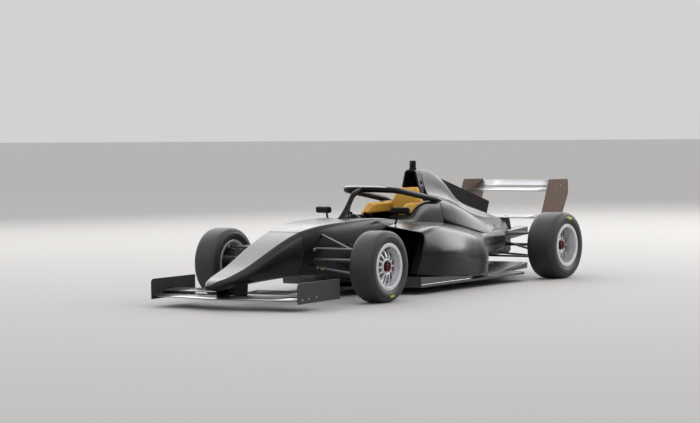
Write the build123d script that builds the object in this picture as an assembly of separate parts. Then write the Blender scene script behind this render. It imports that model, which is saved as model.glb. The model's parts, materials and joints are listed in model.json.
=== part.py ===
# Open wheel racing car: a single-seater with slick tyres, wings, halo and a fin on the engine cover.
# Millimetres, +Z up, nose towards -Y, +X is the car's left. Stations run rearwards from the front axle,
# and export() moves them so that the origin is the middle of the footprint, on the ground.

import math
import os

from build123d import *

# Overall layout
WHEELBASE = 2750.0
FRONT_OVERHANG = 1195.0
REAR_OVERHANG = 770.0
FRONT_TRACK = 1470.0
REAR_TRACK = 1460.0
CAMERA_TOP = 1035.0

# Tyres and rims, as half widths and radii
FRONT_TYRE_RADIUS = 275.0
FRONT_TYRE_HALF = 106.0
FRONT_RIM_HALF = 97.0
FRONT_HUB_INSET = 20.0
REAR_TYRE_RADIUS = 282.0
REAR_TYRE_HALF = 130.0
REAR_RIM_HALF = 122.0
REAR_HUB_INSET = 60.0
FLANGE_RADIUS = 182.0
FLANGE_WIDTH = 12.0
LIP_RADIUS = 152.0
BEAD_RADIUS = 166.0
BARREL_WALL = 7.0
DROP_RADIUS = 152.0
DROP_WIDTH = 46.0
SHOULDER_WIDTH = 30.0
SHOULDER_DROP = 32.0
SIDEWALL_BULGE = 24.0
TYRE_FACETS = 60
SPOKES = 12
SPOKE_WIDTH = 17.0
SPOKE_DEPTH = 24.0
SPOKE_SLOPE = 30.0
RIM_HUB_RADIUS = 65.0
RIM_HUB_LENGTH = 52.0
NUT_POCKET_RADIUS = 50.0
NUT_POCKET_DEPTH = 16.0
NUT_RADIUS = 38.0
NUT_HEIGHT = 22.0

# Hubs, brakes and uprights
DISC_RADIUS = 118.0
DISC_THICKNESS = 20.0
DISC_OFFSET = 20.0
BELL_RADIUS = 48.0
AXLE_RADIUS = 28.0
AXLE_END = 95.0
BEARING_GAP = 0.6
UPRIGHT_BOSS_RADIUS = 58.0
UPRIGHT_INNER = 90.0
UPRIGHT_OUTER = 50.0
UPRIGHT_HALF_LENGTH = 30.0
CALIPER_INNER_RADIUS = 78.0
CALIPER_OUTER_RADIUS = 132.0
CALIPER_HALF_HEIGHT = 36.0
CALIPER_SLOT = 5.0
CALIPER_WALL = 12.0
DRIVESHAFT_RADIUS = 13.0
BOOT_RADIUS = 34.0
BOOT_LENGTH = 70.0

# Suspension: rods, and the ball joints on the steering axis
ROD_RADIUS = 9.0
BALL_RADIUS = 14.0
BALL_GAP = 1.5
KINGPIN_OFFSET = 70.0
STEER_ARM = 100.0
STEER_PIN_RADIUS = 5.0
STEER_EYE_RADIUS = 10.0
STEER_EYE_WALL = 5.0
RACK_HEIGHT = 325.0
RACK_RADIUS = 10.0
RACK_HOUSING_RADIUS = 22.0
RACK_HOUSING_HALF = 130.0
RACK_GAP = 1.0
TRACK_ROD_HOLE = 16.0

# Tub: wall thickness, the joint with the nose, the cockpit opening and the rear wall
TUB_WALL = 24.0
NOSE_JOINT = -217.0
TUB_REAR = 1690.0
COCKPIT_FRONT = 750.0
BULKHEAD = 62.0
COCKPIT_HALF = 226.0
COCKPIT_CORNER = 110.0

# Floor
FLOOR_LOW = 60.0
FLOOR_THICKNESS = 16.0
FLOOR_HALF = 668.0
FLOOR_FRONT = 704.0
FLOOR_REAR = 2457.0
TRAY_FRONT = 380.0
TRAY_HALF = 235.0
FENCE_THICKNESS = 6.0
FENCE_HEIGHT = 68.0
PLANK_THICKNESS = 14.0
PLANK_HALF = 150.0
DIFFUSER_REAR = 2850.0
DIFFUSER_RISE = 58.0
DIFFUSER_HALF = 400.0
DIFFUSER_SKIN = 6.0
STRAKE_HEIGHT = 46.0

# Engine, gearbox and tail
ENGINE_FRONT = 1740.0
ENGINE_LENGTH = 560.0
ENGINE_HALF = 170.0
ENGINE_LOW = 90.0
ENGINE_HIGH = 500.0
GEARBOX_HALF = 100.0
GEARBOX_LOW = 178.0
GEARBOX_HIGH = 385.0
GEARBOX_REAR = 3090.0
CRASH_HALF = 52.0
CRASH_LOW = 325.0
CRASH_HIGH = 400.0
CRASH_LENGTH = 380.0
LIGHT_THICKNESS = 18.0
COVER_WALL = 6.0
POD_WALL = 6.0
FIN_THICKNESS = 6.0

# Roll hoop and camera
HOOP_DEPTH = 73.0
HOOP_HALF = 86.0
HOOP_CROWN_HALF = 52.0
HOOP_TOP = 960.0
HOOP_WALL = 14.0
CAMERA_RADIUS = 27.0
CAMERA_SETBACK = 40.0
CAMERA_COLLAR_RADIUS = 32.0
CAMERA_COLLAR_HEIGHT = 12.0

# Halo
HALO_RADIUS = 24.0
HALO_PILLAR_RADIUS = 21.0

# Wings
FRONT_WING_HALF = 684.0
FRONT_PLANE_LEVEL = 76.0
FRONT_PLANE_STATION = -1100.0
FRONT_PLANE_SWEEP = 100.0
FLAP_START = 94.0
FLAP_STATION = -862.0
FLAP_LEVEL = 109.0
FLAP_SLOPE = 4.0
FLAP_CHORD_SHARE = 0.62
ENDPLATE_THICKNESS = 8.0
REAR_WING_HALF = 439.0
PYLON_THICKNESS = 16.0
PYLON_SPACING = 166.0
REAR_MAIN_STATION = 3250.0
REAR_MAIN_LEVEL = 716.0
REAR_MAIN_SLOPE = 10.0
REAR_FLAP_STATION = 3405.0
REAR_FLAP_LEVEL = 756.0
REAR_FLAP_SLOPE = 26.0
BEAM_STATION = 3050.0
BEAM_LEVEL = 490.0
BEAM_SLOPE = 6.0

# Steering wheel and column
WHEEL_STATION = 835.0
WHEEL_HEIGHT = 570.0
STEERING_WHEEL_HALF = 135.0
STEERING_WHEEL_RISE = 85.0
STEERING_WHEEL_DEPTH = 28.0
COLUMN_RADIUS = 11.0
COLUMN_LENGTH = 260.0
COLUMN_SLOPE = 11.0
DASH_STATION = 745.0
DASH_THICKNESS = 20.0

# Mirrors
MIRROR_HALF_WIDTH = 80.0
MIRROR_HEIGHT = 54.0
MIRROR_DEPTH = 46.0
MIRROR_CENTRE = 372.0
MIRROR_STATION = 878.0
MIRROR_LEVEL = 658.0
MIRROR_STALK = 335.0
MIRROR_TOE = 13.0
MIRROR_STALK_RADIUS = 6.0
MIRROR_STALK_REACH = 185.0

# Seat and headrest
SEAT_HALF = 180.0
HEADREST_DEPTH = 74.0
HEADREST_GAP = 3.0
HEADREST_LENGTH = 480.0
HEADREST_LEAN = 185.0
HEADREST_LOW = 600.0
HEADREST_TOP = 712.0
HEADREST_BACK_TOP = 832.0
HEADREST_BACK_DEPTH = 90.0

# Largest part of a side that one rounded corner takes
CORNER_SHARE = 0.46

CENTRE_STATION = (WHEELBASE + REAR_OVERHANG - FRONT_OVERHANG) / 2
REAR_END = WHEELBASE + REAR_OVERHANG
COCKPIT_REAR = TUB_REAR - BULKHEAD
HEADREST_FRONT = COCKPIT_REAR - HEADREST_LENGTH
HOOP_FRONT = TUB_REAR - HOOP_DEPTH
FLOOR_TOP = FLOOR_LOW + FLOOR_THICKNESS

# Nose and tub sections: station, then height and half width at the bottom, the waist and the top
NOSE_SECTIONS = [
    (-FRONT_OVERHANG, 160, 16, 172, 24, 186, 16),
    (-1172, 151, 34, 172, 46, 202, 36),
    (-1130, 147, 60, 184, 76, 222, 62),
    (-1065, 153, 86, 200, 106, 238, 90),
    (-983, 162, 98, 214, 120, 262, 104),
    (-841, 174, 106, 242, 138, 304, 122),
    (-618, 187, 128, 292, 160, 394, 144),
    (-417, 194, 138, 332, 176, 475, 158),
    (NOSE_JOINT, 195, 150, 365, 196, 538, 174),
]
TUB_SECTIONS = [
    (NOSE_JOINT, 195, 150, 365, 196, 538, 174),
    (0, 190, 185, 385, 245, 579, 216),
    (250, 160, 205, 385, 276, 596, 246),
    (600, 92, 230, 380, 294, 603, 264),
    (800, 77, 240, 370, 295, 600, 264),
    (1000, 77, 240, 370, 295, 580, 266),
    (1180, 77, 240, 375, 295, 582, 264),
    (1240, 77, 240, 380, 295, 600, 262),
    (1320, 77, 240, 390, 295, 656, 258),
    (1434, 77, 240, 400, 295, 697, 252),
    (TUB_REAR, 77, 240, 420, 295, 706, 244),
]
# Sidepod sections, left side: station, inner bottom height, outer bottom half width and height,
# belly half width and height, outer top half width and height, inner top height
POD_SECTIONS = [
    (700, 76, 586, 76, 636, 296, 604, 470, 546),
    (842, 76, 612, 76, 668, 304, 618, 492, 552),
    (1020, 76, 640, 76, 718, 318, 606, 522, 566),
    (1300, 76, 645, 76, 716, 280, 602, 496, 556),
    (1560, 76, 640, 76, 664, 240, 592, 450, 548),
    (1750, 76, 612, 76, 632, 240, 566, 414, 536),
    (1900, 76, 566, 76, 582, 240, 520, 392, 522),
    (1990, 90, 508, 90, 528, 240, 474, 384, 513),
    (2080, 130, 430, 130, 450, 244, 426, 380, 503),
    (2180, 185, 365, 185, 388, 254, 380, 384, 490),
    (2280, 214, 332, 214, 356, 268, 352, 392, 478),
    (2592, 246, 312, 246, 345, 320, 335, 402, 452),
]
# Side view of what is cut away in front of the pod's slanted inlet, as stations and heights
POD_LIP_CUT = [(600, 60, 0), (712, 60, 0), (750, 300, 400), (840, 478, 60), (812, 600, 0), (600, 600, 0)]
POD_INNER = 200.0
# Engine cover sections: distance behind the tub, then half width and height of the base, shoulder,
# neck and spine
COVER_SECTIONS = [
    (0, 292, 540, 244, 706, 108, 750, HOOP_CROWN_HALF, HOOP_TOP),
    (110, 298, 524, 250, 688, 106, 732, 48, 955),
    (220, 302, 510, 252, 660, 102, 712, 46, 934),
    (337, 316, 490, 248, 628, 98, 690, 40, 884),
    (480, 324, 460, 244, 580, 90, 640, 34, 796),
    (618, 330, 430, 240, 526, 84, 588, 30, 690),
    (910, 290, 400, 200, 480, 74, 528, 26, 606),
    (1160, 190, 390, 150, 460, 82, 500, 28, 534),
    (1350, 104, 388, 94, 434, 68, 462, 34, 482),
]
# Fin outline, as distances behind the tub and heights
FIN_OUTLINE = [(310, 896), (1198, 645), (1151, 538), (879, 560), (410, 700)]
# Raised edge of the floor's side, as distances behind the floor's front and heights above the floor
FENCE_OUTLINE = [(0, 0, 2), (780, 0, 2), (777, 28, 4), (373, 46, 80), (0, FENCE_HEIGHT, 0)]
# Endplate outlines, as stations and heights
FRONT_ENDPLATE_OUTLINE = [(-1007, 57, 0), (-459, 62, 0), (-459, 213, 0), (-1007, 213, 30)]
REAR_ENDPLATE_OUTLINE = [
    (3189, 827, 24), (REAR_END, 820, 20), (REAR_END, 693, 24), (3413, 523, 60), (3365, 440, 20),
    (3000, 440, 20), (3045, 531, 60),
]
# Blade that carries the front wing, as stations and heights
NOSE_PYLON_OUTLINE = [(-968, 92), (-818, 92), (-800, 250), (-1000, 200)]
PYLON_CORNER = 6.0
# Wing sections as chord positions and heights, from the leading edge
FRONT_PLANE_SECTION = [
    (0, 8, 7), (18, 22, 10), (90, 30, 40), (250, 26, 1), (250, 22, 1), (90, 2, 40), (14, -2, 8),
]
FLAP_SECTION = [(0, 6, 4), (14, 16, 8), (70, 22, 30), (170, 14, 1), (170, 10, 1), (70, 2, 30), (10, -2, 5)]
# Halo path, left half, as half width, station and height
HALO_CORNERS = [(246, 1690, 702), (253, 1015, 814), (168, 878, 826)]
HALO_RADII = [240, 118]
# Centre line of the halo's front pillar, as stations and heights, from its foot up to the ring
HALO_PILLAR_POINTS = [(604, 560), (700, 672), (800, 768)]
HALO_PILLAR_RADII = [120, 100]
# Flared foot of the pillar: height, first and last station, half width and corner radius
HALO_FOOT_SECTIONS = [(570, 536, 690, 28, 22), (658, 652, 730, 18, 14)]
# Side view of the seat shell, as distances ahead of the tub's rear, heights and corner radii
SEAT_PROFILE = [
    (730, 150, 30), (570, 106, 60), (290, 106, 90), (100, 580, 20), (124, 586, 5), (306, 132, 80),
    (566, 128, 50), (722, 172, 5),
]
# Suspension, left side: half width, station and height of the inner ends and the ball joints
FRONT_UPPER_BALL = (FRONT_TRACK / 2 - KINGPIN_OFFSET, 0, 398)
FRONT_LOWER_BALL = (FRONT_TRACK / 2 - KINGPIN_OFFSET, 0, 192)
FRONT_UPPER_LEGS = [(150, -110, 412), (200, 340, 420)]
FRONT_LOWER_LEGS = [(150, -60, 268), (180, 360, 250)]
FRONT_PUSHROD = [(180, -10, 525), (FRONT_TRACK / 2 - KINGPIN_OFFSET - 120, -25, 382)]
REAR_UPPER_BALL = (REAR_TRACK / 2 - KINGPIN_OFFSET, WHEELBASE, 383)
REAR_LOWER_BALL = (REAR_TRACK / 2 - KINGPIN_OFFSET, WHEELBASE, 180)
REAR_UPPER_LEGS = [(90, 2600, 372), (90, 2960, 372)]
REAR_LOWER_LEGS = [(50, 2560, 194), (50, 2940, 194)]
REAR_PUSHROD = [(90, 2700, 352), (REAR_TRACK / 2 - KINGPIN_OFFSET - 40, WHEELBASE - 20, 214)]


def y_plane(station):
    """Section plane across the car: x is the car's left, y is up."""
    return Plane(origin=(0, station, 0), x_dir=(1, 0, 0), z_dir=(0, -1, 0))


def x_plane(offset):
    """Section plane along the car: x is rearwards, y is up."""
    return Plane(origin=(offset, 0, 0), x_dir=(0, 1, 0), z_dir=(1, 0, 0))


def rounded_wire(plane, corners):
    """Closed outline of straight lines, each corner (x, y, radius) rounded by an arc."""
    count = len(corners)
    points = [Vector(c[0], c[1]) for c in corners]
    edges = []
    starts = []
    ends = []
    for i, (x, y, radius) in enumerate(corners):
        here = points[i]
        before = (points[i - 1] - here).normalized()
        after = (points[(i + 1) % count] - here).normalized()
        half = math.acos(max(-1.0, min(1.0, before.dot(after)))) / 2
        if radius <= 0 or half > math.pi / 2 - 0.002:
            starts.append(here)
            ends.append(here)
            continue
        side = min((points[i - 1] - here).length, (points[(i + 1) % count] - here).length)
        tangent = min(radius / math.tan(half), side * CORNER_SHARE)
        radius = tangent * math.tan(half)
        middle = (before + after).normalized()
        centre = here + middle * (radius / math.sin(half))
        starts.append(here + before * tangent)
        ends.append(here + after * tangent)
        edges.append((i, here + before * tangent, centre - middle * radius, here + after * tangent))
    arcs = {edge[0]: edge[1:] for edge in edges}
    outline = []
    for i in range(count):
        if i in arcs:
            first, mid, last = arcs[i]
            outline.append(
                Edge.make_three_point_arc(
                    plane.from_local_coords(first), plane.from_local_coords(mid), plane.from_local_coords(last)
                )
            )
        if (starts[(i + 1) % count] - ends[i]).length > 1e-4:
            outline.append(
                Edge.make_line(
                    plane.from_local_coords(ends[i]), plane.from_local_coords(starts[(i + 1) % count])
                )
            )
    return Wire(outline)


def rounded_face(plane, corners):
    return Face(rounded_wire(plane, corners))


def slab(plane, corners, low, high):
    """Rounded outline extruded along the plane's normal, from one offset to another."""
    return extrude(rounded_face(plane.offset(low), corners), high - low, dir=plane.z_dir)


def inset(corners, wall):
    """Move every side of an anticlockwise outline inwards by the wall."""
    count = len(corners)
    moved = []
    for i, (x, y, radius) in enumerate(corners):
        before = corners[i - 1]
        after = corners[(i + 1) % count]
        first = Vector(x - before[0], y - before[1]).normalized()
        second = Vector(after[0] - x, after[1] - y).normalized()
        normal_1 = Vector(-first.Y, first.X)
        normal_2 = Vector(-second.Y, second.X)
        middle = (normal_1 + normal_2).normalized()
        turn = first.X * second.Y - first.Y * second.X
        shift = wall / middle.dot(normal_1)
        new_radius = radius - wall if turn > 0 else radius + wall
        moved.append((x + middle.X * shift, y + middle.Y * shift, max(new_radius, 3.0)))
    return moved


def rod(start, end, radius):
    """Round bar between two points."""
    axis = Vector(*end) - Vector(*start)
    plane = Plane(origin=start, z_dir=axis)
    return extrude(plane * Circle(radius), axis.length)


def ball(centre, radius):
    return Pos(*centre) * Sphere(radius)


def cuboid(x_range, y_range, z_range):
    """Box between named limits."""
    size = [high - low for low, high in (x_range, y_range, z_range)]
    middle = [(high + low) / 2 for low, high in (x_range, y_range, z_range)]
    return Pos(*middle) * Box(*size)


def across(start, length, radius, station, height):
    """Round bar along X from a half width outwards."""
    return rod((start, station, height), (start + length, station, height), radius)


def mirrored(shape):
    return mirror(shape, Plane.YZ)


def both_sides(shape):
    return [shape, mirrored(shape)]


def body_corners(section, top_radius, low_radius):
    """Tub or nose outline, symmetric, anticlockwise from the bottom right corner."""
    station, low_z, low_half, waist_z, waist_half, top_z, top_half = section
    waist_radius = waist_half * 1.2
    right = [
        (low_half, low_z, low_radius),
        (waist_half, waist_z, waist_radius),
        (top_half, top_z, top_radius),
    ]
    left = [(-x, y, r) for x, y, r in reversed(right)]
    return right + left


def body_radii(section):
    """Corner radii grow with the section."""
    half = min(section[2], section[6])
    height = section[5] - section[1]
    radius = min(42.0, half * 0.6, height * 0.28)
    return radius, radius * 0.8


def body_loft(sections, wall=0.0, lead_in=0.0, lead_out=0.0):
    """Loft the tub or nose, inset by a wall, with the end sections moved along the car."""
    wires = []
    for i, section in enumerate(sections):
        station = section[0]
        if i == 0:
            station += lead_in
        if i == len(sections) - 1:
            station += lead_out
        corners = body_corners(section, *body_radii(section))
        if wall:
            corners = inset(corners, wall)
        wires.append(Face(rounded_wire(y_plane(station), corners)))
    return loft(wires, ruled=True)


def nose_pylons():
    """Two blades that carry the front wing."""
    blade = [(y, z, PYLON_CORNER) for y, z in NOSE_PYLON_OUTLINE]
    solid = slab(x_plane(0), blade, -PYLON_THICKNESS / 2, PYLON_THICKNESS / 2)
    return [Pos(side * PYLON_SPACING / 2, 0, 0) * solid for side in (-1, 1)]


def nose_cone(wing):
    outer = body_loft(NOSE_SECTIONS)
    for pylon in nose_pylons():
        outer = outer + pylon
    return outer - wing


def tub_outer():
    return body_loft(TUB_SECTIONS)


def tub_inner():
    return body_loft(TUB_SECTIONS, TUB_WALL, TUB_WALL, -TUB_WALL)


def cockpit_cut():
    outline = [
        (-COCKPIT_HALF, COCKPIT_FRONT, COCKPIT_CORNER),
        (COCKPIT_HALF, COCKPIT_FRONT, COCKPIT_CORNER),
        (COCKPIT_HALF, COCKPIT_REAR, 30),
        (-COCKPIT_HALF, COCKPIT_REAR, 30),
    ]
    return slab(Plane.XY, outline, RACK_HEIGHT + 80, HOOP_TOP)


def monocoque(outer, inner):
    holes = rod((-600, -STEER_ARM, RACK_HEIGHT), (600, -STEER_ARM, RACK_HEIGHT), TRACK_ROD_HOLE)
    return outer - inner - cockpit_cut() - holes


def pod_corners(section):
    station, in_low, out_x, out_z, belly_x, belly_z, top_x, top_z, in_high = section
    return [
        (POD_INNER, in_low, 0),
        (out_x, out_z, 30),
        (belly_x, belly_z, 120),
        (top_x, top_z, 44),
        (POD_INNER, in_high, 0),
    ]


def pod_loft(hollow):
    """Left sidepod: its outer form, or the space inside it, which runs out at both ends."""
    faces = []
    last = len(POD_SECTIONS) - 1
    for i, section in enumerate(POD_SECTIONS):
        station = section[0]
        corners = pod_corners(section)
        if hollow:
            corners = inset(corners, POD_WALL)
            corners = [(x - 60 if i in (0, 4) else x, z, 0 if i in (0, 4) else r)
                       for i, (x, z, r) in enumerate(corners)]
            if station == POD_SECTIONS[0][0]:
                station -= 1
            if station == POD_SECTIONS[last][0]:
                station += 1
        faces.append(rounded_face(y_plane(station), corners))
    lip = slab(x_plane(0), POD_LIP_CUT, 0, WHEELBASE)
    return loft(faces, ruled=True) - lip


def cover_corners(section):
    """Engine cover outline, anticlockwise from the bottom right corner."""
    base_x, base_z, side_x, side_z, neck_x, neck_z, spine_x, spine_z = section[1:]
    right = [
        (base_x, base_z, 0),
        (side_x, side_z, 40),
        (neck_x, neck_z, 30),
        (spine_x, spine_z, spine_x * 0.7),
    ]
    left = [(-x, z, r) for x, z, r in reversed(right)]
    return right + left


def cover_loft(hollow):
    faces = []
    for i, section in enumerate(COVER_SECTIONS):
        station = TUB_REAR + section[0]
        corners = cover_corners(section)
        if hollow:
            corners = inset(corners, COVER_WALL)
            low = min(z for x, z, r in corners) - 40
            corners[0] = (corners[0][0], low, 0)
            corners[-1] = (corners[-1][0], low, 0)
            if i == 0:
                station -= 1
            if i == len(COVER_SECTIONS) - 1:
                station += 1
        faces.append(rounded_face(y_plane(station), corners))
    return loft(faces, ruled=True)


def fin(cover):
    outline = [(TUB_REAR + y, z, 8) for y, z in FIN_OUTLINE]
    plate = slab(x_plane(0), outline, -FIN_THICKNESS / 2, FIN_THICKNESS / 2)
    return plate - cover


def roll_hoop(tub):
    """Arch over the seat back, with the air inlet through it."""
    foot = HOOP_HALF * 1.4
    shoulder = HOOP_TOP - 140
    low = HEADREST_TOP - 110
    outer = [(-foot, low, 0), (foot, low, 0), (HOOP_HALF, shoulder, 60), (HOOP_CROWN_HALF, HOOP_TOP, 40),
             (-HOOP_CROWN_HALF, HOOP_TOP, 40), (-HOOP_HALF, shoulder, 60)]
    mouth = [(-HOOP_HALF, shoulder - 20, 24), (HOOP_HALF, shoulder - 20, 24), (HOOP_CROWN_HALF, HOOP_TOP, 40),
             (-HOOP_CROWN_HALF, HOOP_TOP, 40)]
    face = y_plane(TUB_REAR)
    solid = slab(face, outer, 0, HOOP_DEPTH) - slab(face, inset(mouth, HOOP_WALL), -1, HOOP_DEPTH + 1)
    return solid - tub


def camera_pod():
    """Round camera housing on a collar over the air inlet."""
    base = (Align.CENTER, Align.CENTER, Align.MIN)
    pod = Cylinder(CAMERA_RADIUS, CAMERA_TOP - HOOP_TOP, align=base)
    pod = fillet(pod.edges().group_by(Axis.Z)[-1], CAMERA_RADIUS * 0.3)
    collar = Cylinder(CAMERA_COLLAR_RADIUS, CAMERA_COLLAR_HEIGHT, align=base)
    return Pos(0, HOOP_FRONT + CAMERA_SETBACK, HOOP_TOP) * (pod + collar)


def halo(tub, cover):
    """Ring over the cockpit and the pillar in front of it."""
    left = [Vector(*p) for p in HALO_CORNERS]
    right = [Vector(-p.X, p.Y, p.Z) for p in reversed(left)]
    path = FilletPolyline(*left, *right, radius=HALO_RADII + HALO_RADII[::-1])
    ring = sweep(Plane(origin=path @ 0, z_dir=path % 0) * Circle(HALO_RADIUS), path=path)
    front = HALO_CORNERS[-1]
    points = [(0, y, z) for y, z in HALO_PILLAR_POINTS]
    pillar_path = FilletPolyline(*points, (0, front[1] + 4, front[2]), radius=HALO_PILLAR_RADII)
    start = Plane(origin=pillar_path @ 0, z_dir=pillar_path % 0)
    pillar = sweep(start * Circle(HALO_PILLAR_RADIUS), path=pillar_path)
    faces = []
    for height, first, last, half, radius in HALO_FOOT_SECTIONS:
        corners = [(-half, first, radius), (half, first, radius), (half, last, radius), (-half, last, radius)]
        faces.append(rounded_face(Plane.XY.offset(height), corners))
    foot = loft(faces, ruled=True)
    return ring + pillar + foot - tub - cover


def front_plane():
    """Main plane of the front wing, swept back towards its tips."""
    limit = FRONT_WING_HALF - ENDPLATE_THICKNESS
    middle = [(FRONT_PLANE_STATION + y, FRONT_PLANE_LEVEL + z, r) for y, z, r in FRONT_PLANE_SECTION]
    tip = [(y + FRONT_PLANE_SWEEP, z, r) for y, z, r in middle]
    half = loft([rounded_face(x_plane(0), middle), rounded_face(x_plane(limit), tip)])
    return half + mirrored(half)


def front_flap():
    limit = FRONT_WING_HALF - ENDPLATE_THICKNESS
    blade = slab(x_plane(0), FLAP_SECTION, FLAP_START, limit)
    return both_sides(Pos(0, FLAP_STATION, FLAP_LEVEL) * Rot(FLAP_SLOPE, 0, 0) * blade)


def plate_pair(outline, half, thickness):
    """The same upright plate on both sides, its outer face at the half width."""
    return both_sides(slab(x_plane(0), outline, half - thickness, half))


def rear_wing():
    """Main plane and flap of the rear wing."""
    limit = REAR_WING_HALF - ENDPLATE_THICKNESS
    main = slab(x_plane(0), FLAP_SECTION, -limit, limit)
    small = [(y * FLAP_CHORD_SHARE, z * 0.8, r * 0.6) for y, z, r in FLAP_SECTION]
    flap = slab(x_plane(0), small, -limit, limit)
    return [
        Pos(0, REAR_MAIN_STATION, REAR_MAIN_LEVEL) * Rot(REAR_MAIN_SLOPE, 0, 0) * main,
        Pos(0, REAR_FLAP_STATION, REAR_FLAP_LEVEL) * Rot(REAR_FLAP_SLOPE, 0, 0) * flap,
    ]


def beam_wing():
    limit = REAR_WING_HALF - ENDPLATE_THICKNESS
    blade = slab(x_plane(0), FLAP_SECTION, -limit, limit)
    return Pos(0, BEAM_STATION, BEAM_LEVEL) * Rot(BEAM_SLOPE, 0, 0) * blade


def wing_pylon(others):
    """Blade from the crash structure up to the beam wing."""
    foot = CRASH_HIGH - 40
    top = BEAM_LEVEL + 20
    outline = [(BEAM_STATION + 60, foot, 6), (BEAM_STATION + 215, foot, 6), (BEAM_STATION + 165, top, 6),
               (BEAM_STATION + 25, top, 6)]
    blade = slab(x_plane(0), outline, -PYLON_THICKNESS / 2, PYLON_THICKNESS / 2)
    for other in others:
        blade = blade - other
    return blade


def mirrors(pod):
    housing = Box(MIRROR_HALF_WIDTH * 2, MIRROR_DEPTH, MIRROR_HEIGHT)
    housing = fillet(housing.edges().filter_by(Axis.Y), MIRROR_HEIGHT * 0.28)
    housing = Pos(MIRROR_CENTRE, MIRROR_STATION, MIRROR_LEVEL) * Rot(0, 0, MIRROR_TOE) * housing
    top = (MIRROR_STALK, MIRROR_STATION, MIRROR_LEVEL)
    stalk = rod(top, (MIRROR_STALK, MIRROR_STATION, MIRROR_LEVEL - MIRROR_STALK_REACH), MIRROR_STALK_RADIUS)
    return both_sides(housing + stalk - pod)


def headrest():
    """Padded horseshoe round the driver's head."""
    outer = COCKPIT_HALF - HEADREST_GAP
    inner = outer - HEADREST_DEPTH
    rear = HOOP_FRONT - HEADREST_GAP
    front = HEADREST_FRONT
    back = rear - HEADREST_BACK_DEPTH
    plan = [
        (-outer, front, 20), (-inner, front, 20), (-inner, back, 60), (inner, back, 60), (inner, front, 20),
        (outer, front, 20), (outer, rear, 20), (-outer, rear, 20),
    ]
    sides = slab(Plane.XY, plan, HEADREST_LOW, HEADREST_TOP)
    ahead = [(front - 10, HEADREST_LOW, 0), (front, HEADREST_LOW, 0), (front + HEADREST_LEAN, HEADREST_TOP, 0),
             (front + HEADREST_LEAN, HEADREST_TOP + 1, 0), (front - 10, HEADREST_TOP + 1, 0)]
    sides -= slab(x_plane(0), ahead, -outer - 1, outer + 1)
    low = HEADREST_TOP - 8
    upper = [(-outer * 0.62, low, 0), (outer * 0.62, low, 0), (HOOP_HALF, HEADREST_BACK_TOP, 30),
             (-HOOP_HALF, HEADREST_BACK_TOP, 30)]
    return sides + slab(y_plane(rear), upper, 0, HEADREST_BACK_DEPTH)


def seat():
    profile = [(TUB_REAR - y, z, r) for y, z, r in SEAT_PROFILE]
    return slab(x_plane(0), profile, -SEAT_HALF, SEAT_HALF)


def column_plane():
    """Plane of the steering wheel, its axis along the column."""
    slope = math.radians(COLUMN_SLOPE)
    return Plane(
        origin=(0, WHEEL_STATION, WHEEL_HEIGHT), x_dir=(1, 0, 0), z_dir=(0, -math.cos(slope), -math.sin(slope))
    )


def steering_wheel():
    plane = column_plane()
    half = STEERING_WHEEL_HALF
    rise = STEERING_WHEEL_RISE
    outline = [(-half, -rise, 50), (half, -rise, 50), (half, rise, 50), (-half, rise, 50)]
    wheel = slab(plane, outline, 0, STEERING_WHEEL_DEPTH)
    column = extrude(plane * Circle(COLUMN_RADIUS), COLUMN_LENGTH)
    boss = extrude(plane * Circle(COLUMN_RADIUS * 2.6), STEERING_WHEEL_DEPTH * 2.2)
    return wheel + boss + column


def dash_panel(inner):
    """Bulkhead across the tub that carries the steering column."""
    panel = cuboid((-400, 400), (DASH_STATION - DASH_THICKNESS, DASH_STATION), (400, 800))
    bore = extrude(column_plane() * Circle(COLUMN_RADIUS + 2), COLUMN_LENGTH)
    return (panel & inner) - bore


def rack_housing(inner):
    housing = across(-RACK_HOUSING_HALF, 2 * RACK_HOUSING_HALF, RACK_HOUSING_RADIUS, -STEER_ARM, RACK_HEIGHT)
    stand = cuboid((-60, 60), (-STEER_ARM - 12, -STEER_ARM + 12), (100, RACK_HEIGHT)) & inner
    bore = across(-400, 800, RACK_RADIUS + RACK_GAP, -STEER_ARM, RACK_HEIGHT)
    return housing + stand - bore


def steering_rack():
    """Rack bar with its two track rods, an eye at each end."""
    reach = FRONT_TRACK / 2 - KINGPIN_OFFSET
    end = reach - STEER_EYE_RADIUS
    bar = across(-end, 2 * end, RACK_RADIUS, -STEER_ARM, RACK_HEIGHT)
    hole = Cylinder(STEER_EYE_RADIUS, 60)
    ring = Cylinder(STEER_EYE_RADIUS + STEER_EYE_WALL, 2 * RACK_RADIUS + 4)
    for side in (-1, 1):
        place = Pos(side * reach, -STEER_ARM, RACK_HEIGHT)
        bar = bar + place * ring - place * hole
    return bar


def facet_ring(profile, count):
    """Ring of flat facets about X, from a closed profile of (along, radius) points."""
    rows = []
    for k in range(count):
        angle = 2 * math.pi * k / count
        rows.append([Vector(x, r * math.cos(angle), r * math.sin(angle)) for x, r in profile])
    faces = []
    for k in range(count):
        near = rows[k]
        far = rows[(k + 1) % count]
        for i in range(len(profile)):
            j = (i + 1) % len(profile)
            faces.append(Face(Wire.make_polygon([near[i], near[j], far[j], far[i]])))
    return Solid(Shell(faces))


def tyre(radius, half, rim_half):
    """Slick tyre: bead, bulged sidewalls, rounded shoulders and a flat tread."""
    bead = rim_half - FLANGE_WIDTH
    fit = 1 / math.cos(math.pi / TYRE_FACETS)
    right = [
        (bead, BEAD_RADIUS * fit),
        (bead, (FLANGE_RADIUS + 2) * fit),
        (half, FLANGE_RADIUS + SIDEWALL_BULGE),
        (half - 3, radius - SHOULDER_DROP),
        (half - SHOULDER_WIDTH * 0.35, radius - SHOULDER_DROP * 0.33),
        (half - SHOULDER_WIDTH, radius),
    ]
    return facet_ring(right + [(-x, r) for x, r in reversed(right)], TYRE_FACETS)


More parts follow.
